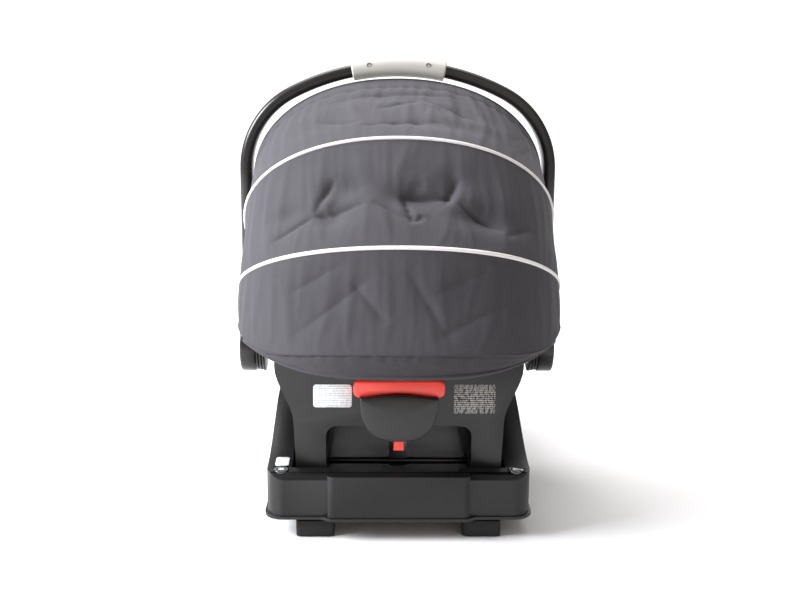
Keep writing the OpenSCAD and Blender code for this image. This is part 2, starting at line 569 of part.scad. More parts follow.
// Hub of the handle: a disc with a rounded rim, and the stub that the tube grows from.
module hub_cap(s) color("#1f1f1f") at_hub() scale([s, 1, 1]) difference() {
    union() {
        rotate([0, 90, 0]) rotate_extrude($fn = 96)
            polygon(concat([[0, cap_in_x], [hub_r, cap_in_x]], arc(hub_r - 3.6, cap_x - 3.6, 3.6, 0, 90, 4), [[0, cap_x]]));
        translate([handle_half_w, 0, 0]) linear_extrude(arm_foot) polygon(round_rect(tube_t, tube_w, 8));
    }
    rod_x(cap_in_x - 1, handle_half_w, pin_r + pin_fit);
    rod_x(handle_half_w - 0.01, cap_x + 1, button_r + 0.5);
}
module hub_cap_left() hub_cap(-1);
module hub_cap_right() hub_cap(1);
module handle_button(s) color("#9a9da0") at_hub() scale([s, 1, 1])
    rod_x(handle_half_w + tube_t / 2 - 2, cap_x - 0.6, button_r);
module handle_button_left() handle_button(-1);
module handle_button_right() handle_button(1);

// ---- canopy -------------------------------------------------------------------------------
// Half of the canopy's arch as [r, x], inset by d, from the hub out and up to the crown.
function arch_half(d, n = 14) =
    concat([[panel_r0, canopy_half_w - 8 - d], [(panel_r0 + canopy_wide_r) / 2, canopy_half_w - 3 - d]],
           [for (i = [0:n]) let (a = 90 * i / n)
            [canopy_wide_r + (canopy_r - d - canopy_wide_r) * pow(sin(a), 2 / canopy_square),
             (canopy_half_w - d) * pow(cos(a), 2 / canopy_square)]]);
function arch(d) = let (h = arch_half(d))
    concat(h, [for (i = [len(h) - 2:-1:0]) [h[i][0], -h[i][1]]]);
// Closed band between the insets a and b.
function arch_band(a, b) = concat(arch(a), flip(arch(b)));
// Sweeps an outline of [r, x] points about the axis, from a0 to a1 behind the vertical.
module hub_sweep(a0, a1) at_hub() rotate([0, 90, 0]) rotate([0, 0, 180 + a0])
    rotate_extrude(angle = a1 - a0, $fn = 96) children();
module canopy_bow(a, k) color("#3b3b3d") at_hub() rotate([a, 0, 0]) difference() {
    union() {
        multmatrix([[0, 1, 0, 0], [0, 0, 1, 0], [1, 0, 0, 0]]) translate([0, 0, -bow_w / 2]) linear_extrude(bow_w)
            polygon(concat(bow_line(bow_inset, k, bow_t), flip(bow_line(bow_inset + bow_t, k, 0))));
        both_sides() rod_x(bow_x(k), bow_x(k) + bow_t, pin_r + 9);
    }
    both_sides() rod_x(0, 300, pin_r + pin_fit);
}
function bow_x(k) = shell_half_w + 3.4 + k * bow_pitch;
// Arch of a bow as [r, x], with its legs brought in to its own place beside the shell.
function bow_line(d, k, t) =
    let (h = [for (p = arch_half(d)) if (p[0] > canopy_wide_r) p],
         half = concat([[pin_r + 4, bow_x(k) + t], [hub_r + 10, bow_x(k) + t]], h))
    concat(half, [for (i = [len(half) - 2:-1:0]) [half[i][0], -half[i][1]]]);
module canopy_bow_rear() canopy_bow(bow_rear_a - 1, 2);
module canopy_bow_mid() canopy_bow(bow_mid_a, 1);
module canopy_bow_front() canopy_bow(bow_front_a + 1, 0);
module canopy_panel_low() color("#4a484c") hub_sweep(bow_rear_a + 0.5, hem_a) polygon(arch_band(0, panel_t));
module canopy_panel_mid() color("#4d4b4f") hub_sweep(bow_mid_a + 0.5, bow_rear_a)
    polygon(arch_band(nest, nest + panel_t));
module canopy_panel_top() color("#504e52") hub_sweep(bow_front_a, bow_mid_a)
    polygon(arch_band(2 * nest, 2 * nest + panel_t));
// Piping along the crown side of the arch only, where it shows.
function crown_line(d) = [for (p = arch(d)) if (p[0] > canopy_wide_r + 2) p];
module piping(a, d, high) color("#e6e0dc") hub_sweep(a - 0.4, a + 0.4)
    polygon(concat(crown_line(d - 0.3 - high), flip(crown_line(d - 0.3))));
module piping_lower() piping(bow_rear_a + 1, 0, piping_d / 2);
module piping_upper() piping(bow_mid_a + 1, nest, panel_gap - 0.6);
module canopy_hem() color("#3c3b3e") hub_sweep(hem_a + 0.02, hem_a + 3) polygon(arch_band(0, panel_t + panel_gap / 2));

base_shell();
base_floor();
rear_foot_left();
rear_foot_right();
latch_bar_rear();
latch_bar_front();
level_gauge_left();
level_gauge_right();
belt_hook_left();
belt_hook_right();
base_badge();
recline_foot();
recline_pads();
recline_button();
carrier_shell();
rocker_frame();
release_cover();
care_label();
warning_label();
hub_collar_left();
hub_collar_right();
pivot_pins();
seat_pad();
head_support();
harness_left();
harness_right();
shoulder_pad_left();
shoulder_pad_right();
crotch_strap();
buckle();
buckle_tongues();
buckle_button();
chest_clip();
adjuster_housing();
adjuster_button();
adjuster_strap();
harness_yoke();
release_handle();
release_tab();
latch_hook_rear();
latch_hook_front();
handle_tube();
grip_front();
grip_back();
grip_screws();
hub_cap_left();
hub_cap_right();
handle_button_left();
handle_button_right();
canopy_bow_rear();
canopy_bow_mid();
canopy_bow_front();
canopy_panel_low();
canopy_panel_mid();
canopy_panel_top();
piping_lower();
piping_upper();
canopy_hem();
hook_lugs();
hook_pins();
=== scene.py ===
# %% [markdown]
# # An infant car seat, seen from its head end
# The seat is a plastic carrier under a charcoal fabric canopy, with a carry handle over it, clicked
# into a black plastic base. The moving frame comes ready made; this lesson gives it its looks.
# Shapes are in millimetres and become metres where a mesh is made; camera and lights are in metres.

# %% Load the frame
import bpy
import bmesh
import json
import math
import numpy as np
from mathutils import Matrix, Vector


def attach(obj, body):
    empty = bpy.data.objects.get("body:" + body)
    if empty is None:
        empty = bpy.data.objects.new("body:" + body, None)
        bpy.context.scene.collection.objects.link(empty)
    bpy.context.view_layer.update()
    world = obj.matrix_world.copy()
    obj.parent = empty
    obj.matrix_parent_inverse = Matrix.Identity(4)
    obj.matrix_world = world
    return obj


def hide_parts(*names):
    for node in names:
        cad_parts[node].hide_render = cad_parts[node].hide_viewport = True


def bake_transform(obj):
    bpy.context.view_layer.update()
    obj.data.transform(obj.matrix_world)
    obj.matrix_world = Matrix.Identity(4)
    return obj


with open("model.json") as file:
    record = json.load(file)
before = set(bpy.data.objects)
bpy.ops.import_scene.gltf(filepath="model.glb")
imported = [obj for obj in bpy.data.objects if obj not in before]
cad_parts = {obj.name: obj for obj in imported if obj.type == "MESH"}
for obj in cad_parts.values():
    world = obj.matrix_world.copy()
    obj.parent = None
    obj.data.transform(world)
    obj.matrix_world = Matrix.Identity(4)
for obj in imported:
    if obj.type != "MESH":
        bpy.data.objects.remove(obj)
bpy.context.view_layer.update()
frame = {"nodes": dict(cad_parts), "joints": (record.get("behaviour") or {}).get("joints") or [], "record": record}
MM = 0.001
NODE_BODY = {n: b for b, names in frame["record"]["behaviour"]["bodies"].items() for n in names}
JOINTS = {j["name"]: j for j in frame["joints"]}
HUB = np.array(JOINTS["handle_turn"]["pos_m"]) / MM
print("handle axis at", HUB.round(1), "and", len(NODE_BODY), "CAD nodes")

# %% [markdown]
# ## Camera, floor and light
# The seat stands on a white sweep, a sheet that runs up behind it in one curve, lit by a large window
# on the left and a weaker fill. A long lens from a little above keeps the base from looking wide.

# %% Camera
LENS_MM, SEEN_TO_M = 51.5, 50
CAMERA_PLACE = (-0.0216, -1.6137, 0.6264)
PITCH, YAW, ROLL = math.radians(12.47), math.radians(0.89), math.radians(0.37)
camera = bpy.data.objects.new("camera", bpy.data.cameras.new("camera"))
bpy.context.scene.collection.objects.link(camera)
camera.data.lens, camera.data.clip_end = LENS_MM, SEEN_TO_M
look = Vector((math.sin(YAW) * math.cos(PITCH), math.cos(YAW) * math.cos(PITCH), -math.sin(PITCH)))
aim = look.to_track_quat("-Z", "Y").to_matrix().to_4x4()
camera.matrix_world = Matrix.Translation(CAMERA_PLACE) @ aim @ Matrix.Rotation(ROLL, 4, "Z")
bpy.context.scene.camera = camera

# %% Mesh and node helpers
def mesh_object(name, points, faces, material):
    """A smooth mesh object at the origin from an (n, 3) array in millimetres and a list of faces."""
    mesh = bpy.data.meshes.new(name)
    mesh.from_pydata((np.asarray(points, float) * MM).tolist(), [], [list(map(int, f)) for f in faces])
    mesh.validate()
    mesh.polygons.foreach_set("use_smooth", [True] * len(mesh.polygons))
    if material:
        mesh.materials.append(material)
    obj = bpy.data.objects.new(name, mesh)
    bpy.context.scene.collection.objects.link(obj)
    return obj

def grid_faces(n, m, wrap_u=False, wrap_v=False):
    """The quads of an n by m grid of points, closed along either direction where asked."""
    i = np.arange(n if wrap_u else n - 1)[:, None]
    j = np.arange(m if wrap_v else m - 1)[None, :]
    k, l = (i + 1) % n, (j + 1) % m
    return np.stack([i * m + j, k * m + j, k * m + l, i * m + l], -1).reshape(-1, 4)

def swept_faces(n, m):
    """The faces of a tube of n rings of m points each, with a flat cap over each end."""
    return grid_faces(n, m, wrap_v=True).tolist() + [list(range(m)), list(range((n - 1) * m, n * m))]

def outward(obj):
    """Merges doubles and turns every face outwards; for closed surfaces."""
    bm = bmesh.new()
    bm.from_mesh(obj.data)
    bmesh.ops.remove_doubles(bm, verts=bm.verts, dist=1e-6)
    bmesh.ops.recalc_face_normals(bm, faces=bm.faces)
    bm.to_mesh(obj.data)
    bm.free()
    return obj

def srgb(code):
    """An sRGB hex code as linear red, green, blue and alpha."""
    c = np.array([int(code[i:i + 2], 16) for i in (1, 3, 5)]) / 255
    return (*np.where(c <= 0.04045, c / 12.92, ((c + 0.055) / 1.055) ** 2.4), 1)

def blank_material(name):
    """A new material, its node tree and its Principled shader."""
    material = bpy.data.materials.new(name)
    material.use_nodes = True
    return material, material.node_tree, material.node_tree.nodes["Principled BSDF"]

def add(tree, kind, settings=None, **links):
    """Adds one shader node. settings are attributes or input values; links are input = output socket."""
    node = tree.nodes.new("ShaderNode" + kind)
    for key, value in (settings or {}).items():
        if isinstance(key, str) and hasattr(node, key):
            setattr(node, key, value)
        else:
            node.inputs[key].default_value = value
    for key, socket in links.items():
        tree.links.new(socket, node.inputs[int(key[1:]) if key[0] == "i" and key[1:].isdigit() else key])
    return node

def ease(t):
    """Smooth step from 0 to 1."""
    c = np.clip(t, 0, 1)
    return c * c * (3 - 2 * c)

def signed_power(v, power):
    """v to a power with its sign kept: it turns a circle's cosine and sine into a superellipse's."""
    return np.sign(v) * np.abs(v) ** power

# %% Floor and light
SWEEP_HALF_W, SWEEP_STEPS = 7000, 60
NEAR_Y, BEND_Y, BEND_DEEP, BEND_RISE = -6000, 3000, 1500, 2.5
FLAT_SHARE, BELOW_FEET = 0.7, 0.5
sweep_t = np.linspace(0, 1, SWEEP_STEPS)
flat_part = sweep_t < FLAT_SHARE
bend = (sweep_t - FLAT_SHARE) / 0.3 * np.pi / 2
sweep_y = np.where(flat_part, NEAR_Y + (BEND_Y - NEAR_Y) * sweep_t / FLAT_SHARE,
                   BEND_Y + BEND_DEEP * np.sin(bend))
sweep_z = np.where(flat_part, 0, BEND_DEEP * (1 - np.cos(bend)) * BEND_RISE)
sweep = np.stack(np.broadcast_arrays(np.array([-SWEEP_HALF_W, SWEEP_HALF_W])[:, None], sweep_y, sweep_z), -1)
paper, _, paper_shader = blank_material("white_paper_sweep")
paper_shader.inputs["Base Color"].default_value = srgb("#f6f5f4")
paper_shader.inputs["Roughness"].default_value = 0.9
mesh_object("floor", sweep.reshape(-1, 3) - [0, 0, BELOW_FEET], grid_faces(2, SWEEP_STEPS), paper)

def area_light(name, place, target, size, power, tint):
    """A square softbox at place, aimed at target, in metres."""
    lamp = bpy.data.objects.new(name, bpy.data.lights.new(name, "AREA"))
    lamp.data.size, lamp.data.energy, lamp.data.color = size, power, srgb(tint)[:3]
    lamp.matrix_world = (Matrix.Translation(place)
                         @ (Vector(target) - Vector(place)).to_track_quat("-Z", "Y").to_matrix().to_4x4())
    bpy.context.scene.collection.objects.link(lamp)

area_light("window", (-2.5, -0.75, 1.7), (0, -0.1, 0.3), 1.3, 195, "#f6f8ff")
area_light("fill", (1.4, -3.0, 1.6), (0, 0, 0.3), 2.4, 12, "#ffe6d6")
area_light("top", (-0.5, 0.7, 2.6), (0, 0, 0.3), 1.6, 40, "#fbfcff")
area_light("backdrop", (0.0, 1.6, 3.4), (0.2, 3.6, 0.6), 3.0, 105, "#ffffff")
world = bpy.data.worlds.new("white_room")
world.use_nodes = True
world.node_tree.nodes["Background"].inputs["Color"].default_value = (1, 1, 1, 1)
world.node_tree.nodes["Background"].inputs["Strength"].default_value = 0.36
bpy.context.scene.world = world
bpy.context.scene.view_settings.view_transform = "Standard"

# %% [markdown]
# ## Moulded plastics
# The base, the carrier and the handle are black polypropylene. It comes out of an etched steel mould,
# so the base and carrier carry a fine pebble grain and the handle is smoother. A grain of 0.4 mm
# would not show, so it is drawn at 1.2 mm. A little dust lightens the colour in broad patches.

# %% Plastics
GRAIN_DEEP, WEAVE_DEEP = 0.3 * MM, 0.4 * MM

def plastic(name, colour, dusty, roughness, grain_mm, grain_depth, coat=0.0, spread=0.1):
    """Moulded plastic: pebble grain from Voronoi cells of grain_mm; colour and gloss change in clouds."""
    material, tree, shader = blank_material(name)
    shader.inputs["IOR"].default_value = 1.49
    shader.inputs["Coat Weight"].default_value = coat
    shader.inputs["Coat Roughness"].default_value = 0.25
    place = add(tree, "TexCoord").outputs["Object"]
    cloud = add(tree, "TexNoise", {"Scale": 14, "Detail": 5, "Roughness": 0.6}, Vector=place)
    tone = add(tree, "MixRGB", {"Color1": srgb(colour), "Color2": srgb(dusty)}, Fac=cloud.outputs["Fac"])
    gloss = add(tree, "MapRange", {"To Min": roughness - spread, "To Max": roughness + spread},
                Value=cloud.outputs["Fac"])
    cells = add(tree, "TexVoronoi", {"Scale": 1000 / grain_mm, "feature": "SMOOTH_F1"}, Vector=place)
    bump = add(tree, "Bump", {"Strength": grain_depth, "Distance": GRAIN_DEEP},
               Height=cells.outputs["Distance"])
    tree.links.new(tone.outputs["Color"], shader.inputs["Base Color"])
    tree.links.new(gloss.outputs["Result"], shader.inputs["Roughness"])
    tree.links.new(bump.outputs["Normal"], shader.inputs["Normal"])
    return material

BASE_PLASTIC = plastic("grained_black_polypropylene", "#0f0f0f", "#181817", 0.42, 1.2, 0.25)
SHELL_PLASTIC = plastic("satin_black_polypropylene", "#131313", "#1b1b1b", 0.36, 1.0, 0.16)
HANDLE_PLASTIC = plastic("smooth_black_polypropylene", "#1b1918", "#25211f", 0.3, 1.0, 0.06)
COVER_PLASTIC = plastic("dark_grey_abs", "#22211f", "#282725", 0.42, 1.0, 0.12)
GRIP_PLASTIC = plastic("warm_grey_soft_touch_rubber", "#b3b0a8", "#bfbcb4", 0.6, 1.4, 0.2, spread=0.05)
RED_PLASTIC = plastic("red_acetal", "#ff4334", "#ff5546", 0.36, 1.2, 0.08, coat=0.15, spread=0.05)
GREY_PLASTIC = plastic("mid_grey_abs", "#8d8f91", "#999b9c", 0.42, 1.2, 0.1, spread=0.05)
FOOT_RUBBER = plastic("moulded_black_rubber", "#151414", "#201f1f", 0.75, 1.6, 0.3, spread=0.06)

# %% [markdown]
# ## Metal, labels and gauges
# The hooks, pins and screws are zinc-plated steel and the latch bars are blackened. Fine scratches run
# across the seat, along the bars.
# The labels are printed stickers; no wording is drawn, only grey rules where the lines of print are.

# %% Steel, labels and the level window
def steel(name, colour):
    """Plated or blackened steel: fully metallic, with fine scratches stretched along X."""
    material, tree, shader = blank_material(name)
    shader.inputs["Base Color"].default_value = srgb(colour)
    shader.inputs["Metallic"].default_value = 1
    place = add(tree, "Mapping", {"Scale": (40, 900, 900)}, Vector=add(tree, "TexCoord").outputs["Object"])
    scratch = add(tree, "TexNoise", {"Scale": 1, "Detail": 4}, Vector=place.outputs["Vector"])
    gloss = add(tree, "MapRange", {"To Min": 0.22, "To Max": 0.42}, Value=scratch.outputs["Fac"])
    tree.links.new(gloss.outputs["Result"], shader.inputs["Roughness"])
    return material

def printed(name, paper_tone, ink_tone, line_mm, share, roughness):
    """A printed panel: rules line_mm apart along Z, broken into words along X, in ink on paper."""
    material, tree, shader = blank_material(name)
    shader.inputs["Roughness"].default_value = roughness
    place = add(tree, "SeparateXYZ", {}, Vector=add(tree, "TexCoord").outputs["Object"])
    rows = add(tree, "Math", {"operation": "PINGPONG", 1: 0.5 * line_mm * MM}, i0=place.outputs["Z"])
    inked = add(tree, "Math", {"operation": "LESS_THAN", 1: share * 0.5 * line_mm * MM},
                i0=rows.outputs["Value"])
    step = add(tree, "Math", {"operation": "SNAP", 1: line_mm * MM}, i0=place.outputs["Z"])
    word = add(tree, "CombineXYZ", {}, X=place.outputs["X"], Z=step.outputs["Value"])
    breaks = add(tree, "TexNoise", {"Scale": 420, "Detail": 0}, Vector=word.outputs["Vector"])
    gap = add(tree, "Math", {"operation": "GREATER_THAN", 1: 0.44}, i0=breaks.outputs["Fac"])
    ink = add(tree, "Math", {"operation": "MULTIPLY"}, i0=inked.outputs["Value"], i1=gap.outputs["Value"])
    tone = add(tree, "MixRGB", {"Color1": srgb(paper_tone), "Color2": srgb(ink_tone)},
               Fac=ink.outputs["Value"])
    tree.links.new(tone.outputs["Color"], shader.inputs["Base Color"])
    return material

STEEL = steel("zinc_plated_steel", "#b9bbbd")
DARK_STEEL = steel("blackened_steel", "#4c4d4f")
STICKER = printed("white_vinyl_sticker", "#eef0ef", "#a9adb0", 3.2, 0.36, 0.35)
PAD_PRINT = printed("pale_pad_print", "#232323", "#b9b7b0", 2.6, 0.52, 0.45)

def level_window(name, apart_mm):
    """A level window: pale disc, dark ring and pale rim, by distance from the middle of the nearer gauge."""
    material, tree, shader = blank_material(name)
    shader.inputs["Roughness"].default_value = 0.12
    shader.inputs["Coat Weight"].default_value = 0.8
    place = add(tree, "SeparateXYZ", {}, Vector=add(tree, "TexCoord").outputs["Object"])
    side = add(tree, "Math", {"operation": "ABSOLUTE"}, i0=place.outputs["X"])
    x = add(tree, "Math", {"operation": "SUBTRACT", 1: apart_mm * MM}, i0=side.outputs["Value"])
    y = add(tree, "Math", {"operation": "SUBTRACT", 1: GAUGE_Y * MM}, i0=place.outputs["Y"])
    flat = add(tree, "CombineXYZ", {}, X=x.outputs["Value"], Y=y.outputs["Value"])
    far = add(tree, "VectorMath", {"operation": "LENGTH"}, i0=flat.outputs["Vector"])
    share = add(tree, "MapRange", {"From Max": GAUGE_R * MM}, Value=far.outputs["Value"])
    steps = add(tree, "ValToRGB", {}, Fac=share.outputs["Result"])
    steps.color_ramp.interpolation = "CONSTANT"
    steps.color_ramp.elements[0].color = srgb("#d7dada")
    steps.color_ramp.elements[1].position, steps.color_ramp.elements[1].color = 0.42, srgb("#222426")
    steps.color_ramp.elements.new(0.7).color = srgb("#8f9394")
    steps.color_ramp.elements.new(0.86).color = srgb("#1c1c1d")
    tree.links.new(steps.outputs["Color"], shader.inputs["Base Color"])
    return material

GAUGE_X, GAUGE_Y, GAUGE_R = 153.0, HUB[1] - 268.0 + 17.0, 10
GAUGE = level_window("clear_level_window", GAUGE_X)

# %% [markdown]
# ## Cloth
# The canopy is charcoal polyester in a plain weave, dyed in the thread and slightly mottled, with a
# soft sheen at grazing angles. Its threads are about 0.5 mm apart; they are drawn 1.3 mm apart so
# that a trace of the weave survives. The pattern follows a piece's UV map, in metres of cloth. The
# seat pad and the head support have no such map, so they show the mottling but no weave.

# %% Woven and knitted cloth
def woven(name, colour, pale, thread_mm, depth, sheen, mottle=0.5):
    """Plain weave: two crossed sine waves, one per thread direction, as bump and as painted shade over a mottled,
    slubby colour.
    """
    material, tree, shader = blank_material(name)
    shader.inputs["Roughness"].default_value = 0.82
    shader.inputs["Sheen Weight"].default_value = sheen
    shader.inputs["Sheen Roughness"].default_value = 0.45
    shader.inputs["Sheen Tint"].default_value = srgb("#b9b4bd")
    cloth = add(tree, "TexCoord").outputs["UV"]
    solid = add(tree, "TexCoord").outputs["Object"]
    # A wave texture repeats every 2 pi / 20 of its own units.
    spread = add(tree, "Mapping", {"Scale": (1000 / thread_mm * 2 * math.pi / 20,) * 3}, Vector=cloth)
    warp, weft = (add(tree, "TexWave", {"Scale": 1, "Distortion": 0.4, "bands_direction": axis},
                      Vector=spread.outputs["Vector"]) for axis in "XY")
    threads = add(tree, "Math", {"operation": "MULTIPLY"}, i0=warp.outputs["Fac"], i1=weft.outputs["Fac"])
    slub = add(tree, "Mapping", {"Scale": (90, 900, 1)}, Vector=cloth)
    streak = add(tree, "TexNoise", {"Scale": 1, "Detail": 3}, Vector=slub.outputs["Vector"])
    cloud = add(tree, "TexNoise", {"Scale": 9, "Detail": 4, "Roughness": 0.6}, Vector=solid)
    blend = add(tree, "MixRGB", {"Fac": 0.35}, Color1=cloud.outputs["Fac"], Color2=streak.outputs["Fac"])
    level = add(tree, "MapRange", {"From Min": 0.35, "From Max": 0.65, "To Min": 0.5 - mottle / 2,
                                   "To Max": 0.5 + mottle / 2}, Value=blend.outputs["Color"])
    tone = add(tree, "MixRGB", {"Color1": srgb(colour), "Color2": srgb(pale)}, Fac=level.outputs["Result"])
    # The thread crossings also scale the colour from 0.86 to 1.06: painted shade between the threads and a faint
    # painted highlight on their tops.
    shade = add(tree, "MapRange", {"To Min": 0.86, "To Max": 1.06}, Value=threads.outputs["Value"])
    weave_shaded_tone = add(tree, "MixRGB", {"blend_type": "MULTIPLY", "Fac": 1.0}, Color1=tone.outputs["Color"],
               Color2=shade.outputs["Result"])
    bump = add(tree, "Bump", {"Strength": depth, "Distance": WEAVE_DEEP}, Height=threads.outputs["Value"])
    tree.links.new(weave_shaded_tone.outputs["Color"], shader.inputs["Base Color"])
    tree.links.new(bump.outputs["Normal"], shader.inputs["Normal"])
    return material

CANOPY_CLOTH = woven("charcoal_polyester_weave", "#38363a", "#464448", 1.3, 0.35, 0.16)
HEM_CLOTH = woven("charcoal_binding_tape", "#343235", "#3e3b3f", 1.1, 0.3, 0.15)
PAD_CLOTH = woven("charcoal_brushed_knit", "#434146", "#525056", 2.0, 0.5, 0.3)
WEBBING = woven("black_polyester_webbing", "#26262a", "#303035", 2.4, 0.8, 0.1)
PIPING_CLOTH = woven("silver_white_piping", "#ebe7e3", "#f6f2ee", 1.4, 0.4, 0.2, mottle=0.35)

# %% [markdown]
# ## Small hard pieces
# Small hard pieces keep their CAD shape. A moulded edge is never knife sharp, though, and a sharp edge
# catches no light, so each one becomes a merged copy with a Bevel modifier of the mould's edge radius.

# %% Rounded copies of CAD pieces
MERGE_M, FLAT_DEG, BEVEL_SEGMENTS, BEVEL_FROM_DEG = 2e-6, 0.6, 2, 35

def rounded(node, material, radius_mm):
    """A merged copy of a CAD node with its sharp edges rounded to radius_mm, standing for that node."""
    obj = frame["nodes"][node].copy()
    obj.data = obj.data.copy()
    obj.parent = None
    obj.name = node + "_moulded"
    for key in list(obj.keys()):
        del obj[key]
    bpy.context.scene.collection.objects.link(obj)
    bm = bmesh.new()
    bm.from_mesh(obj.data)
    bmesh.ops.remove_doubles(bm, verts=bm.verts, dist=MERGE_M)
    bmesh.ops.dissolve_limit(bm, angle_limit=math.radians(FLAT_DEG), verts=bm.verts, edges=bm.edges)
    bm.to_mesh(obj.data)
    bm.free()
    obj.data.materials.clear()
    obj.data.materials.append(material)
    obj.data.polygons.foreach_set("use_smooth", [True] * len(obj.data.polygons))
    bevel = obj.modifiers.new("mould_edges", "BEVEL")
    bevel.width, bevel.segments, bevel.limit_method = radius_mm * MM, BEVEL_SEGMENTS, "ANGLE"
    bevel.angle_limit, bevel.harden_normals = math.radians(BEVEL_FROM_DEG), True
    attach(obj, NODE_BODY[node])
    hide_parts(node)
    return obj

SLOT = {p["node"]: p["material_slot"] for p in frame["record"]["subparts"]}
FINISH = {"base_plastic": BASE_PLASTIC, "shell_plastic": SHELL_PLASTIC, "handle_plastic": HANDLE_PLASTIC,
          "grip_plastic": GRIP_PLASTIC, "cover_plastic": COVER_PLASTIC, "red_plastic": RED_PLASTIC,
          "grey_plastic": GREY_PLASTIC, "rubber": FOOT_RUBBER, "steel": STEEL,
          "canopy_fabric": CANOPY_CLOTH,
          "pad_fabric": PAD_CLOTH, "webbing": WEBBING, "piping": PIPING_CLOTH, "label": STICKER,
          "print": PAD_PRINT, "gauge": GAUGE}
EDGE_MM = {"base_shell": 3.0, "rocker_frame": 1.6, "release_handle": 3.5,
           "rear_foot_left": 2, "rear_foot_right": 2, "recline_foot": 1.5,
           "hub_collar_left": 0.9, "hub_collar_right": 0.9, "hub_cap_left": 1.5, "hub_cap_right": 1.5,
           "buckle": 2.5, "buckle_button": 1.5, "chest_clip": 2.2,
           "adjuster_housing": 1.8, "adjuster_button": 1.2,
           "canopy_bow_front": 1.0, "canopy_bow_mid": 1.0, "canopy_bow_rear": 1.0}
OTHER_EDGE_MM = 0.6
for node, piece in frame["nodes"].items():
    piece.data.materials.clear()
    piece.data.materials.append(FINISH[SLOT[node]])
hard = [n for n in frame["nodes"] if SLOT[n] not in ("canopy_fabric", "pad_fabric", "webbing", "piping")
        and n not in ("carrier_shell", "handle_tube", "grip_front", "grip_back", "release_cover")]
moulded = {n: rounded(n, FINISH[SLOT[n]], EDGE_MM.get(n, OTHER_EDGE_MM)) for n in hard}
moulded["base_badge"].data.materials[0] = STICKER
for node in ("latch_bar_rear", "latch_bar_front"):
    moulded[node].data.materials[0] = DARK_STEEL
print(len(moulded), "hard pieces rounded")

# %% [markdown]
# ## Canopy
# The canopy is cut from three panels sewn to bows, with piping in the seams. In section across the
# seat it is an arch: flat sides up to the widest point, then a squared ellipse to the crown. Turned
# about the handle's axis it makes a hood. The main folds are placed as hollows and creases.
# Blender's cloth solver then lets each panel settle between pinned seams, and a part of that is kept.

# %% The arch and its place on the hood
CROWN_R, HALF_W, WIDE_R, SQUARE, SIDE_R = 389.5, 205.0, 245.0, 2.15, 62.0
FRONT_A, UPPER_A, LOWER_A, GATHER_A = 3.0, 34.0, 58.5, 77.3

def arch(count):
    """count points [r, x] evenly spaced along the arch, from the left hub over the crown to the right."""
    a = np.linspace(0, np.pi / 2, 400)
    r = WIDE_R + (CROWN_R - WIDE_R) * np.sin(a) ** (2 / SQUARE)
    x = HALF_W * np.cos(a) ** (2 / SQUARE)
    side = np.linspace(0, 1, 60)[:-1]
    half = np.stack([np.r_[SIDE_R + (WIDE_R - SIDE_R) * side, r],
                     np.r_[HALF_W - 9 * (1 - side) ** 1.5, x]], -1)
    line = np.r_[half * [1, -1], half[::-1][1:]]
    length = np.r_[0, np.cumsum(np.linalg.norm(np.diff(line, axis=0), axis=1))]
    even = np.linspace(0, length[-1], count)
    return np.stack([np.interp(even, length, line[:, k]) for k in (0, 1)], -1), length[-1]

def arch_normals(points):
    """Unit vectors [r, x] that point out of the arch at each of its points."""
    tangent = np.gradient(points, axis=0)
    normal = np.stack([tangent[:, 1], -tangent[:, 0]], -1)
    return normal / np.linalg.norm(normal, axis=1, keepdims=True)

def turned(points, a):
    """Arch points [r, x] turned by a radians behind the vertical about the handle's axis, as [x, y, z]."""
    r, x = points[..., 0], points[..., 1]
    return np.stack([x, HUB[1] - r * np.sin(a), HUB[2] + r * np.cos(a)], -1)

def hood(angles, points, proud):
    """Points of the hood: an angle in degrees by row and column, arch points pushed out by proud mm."""
    moved = points[None] + arch_normals(points)[None] * proud[..., None]
    return turned(moved, np.radians(angles))

def gather_line(x):
    """Angle of the gathered seam: almost level, a little lower off the middle and lifted over the hubs."""
    return GATHER_A + 1.2 * np.abs(x / HALF_W) ** 4 - 8.0 * np.abs(x / HALF_W) ** 10

def hem_line(x):
    """Angle of the hem's lower edge: lowest in the middle, closing on the gathered seam beside the hubs."""
    return np.maximum(81.4 - 3.0 * np.abs(x / 160) ** 3.5, gather_line(x) + 0.9)

def blend_by_angle(obj):
    """Bakes obj's placement into its mesh and reads its points in millimetres."""
    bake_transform(obj)
    co = np.empty(len(obj.data.vertices) * 3)
    obj.data.vertices.foreach_get("co", co)
    co = co.reshape(-1, 3) / MM

def cloth_uv(obj, n, m, width_mm, height_mm):
    """A UV map in metres of cloth for an n by m grid whose points are still in grid order."""
    uv = obj.data.uv_layers.new(name="cloth")
    index = np.empty(len(obj.data.loops), int)
    obj.data.loops.foreach_get("vertex_index", index)
    grid = np.stack([index % m / (m - 1) * width_mm, index // m / (n - 1) * height_mm], -1) * MM
    uv.data.foreach_set("uv", grid.ravel())

FADE = 0.55

def noise(u, v, seed, octaves=5):
    """Smooth noise: a sum of sine waves in turned directions, doubling in frequency and fading by FADE."""
    rng = np.random.default_rng(seed)
    total = np.zeros(np.broadcast(u, v).shape)
    for k in range(octaves):
        for _ in range(3):
            turn, phase = rng.uniform(0, np.pi), rng.uniform(0, 2 * np.pi)
            total += FADE ** k * np.sin(2 ** k * (np.cos(turn) * u + np.sin(turn) * v) + phase)
    return total / 3

DRAPE_SHARE, DRAPE_FRAMES = 0.35, 10
SOLVER = {"quality": 7, "mass": 0.22, "vertex_group_mass": "seams",
          "tension_stiffness": 40, "compression_stiffness": 40,
          "shear_stiffness": 30, "bending_stiffness": 8, "air_damping": 2}

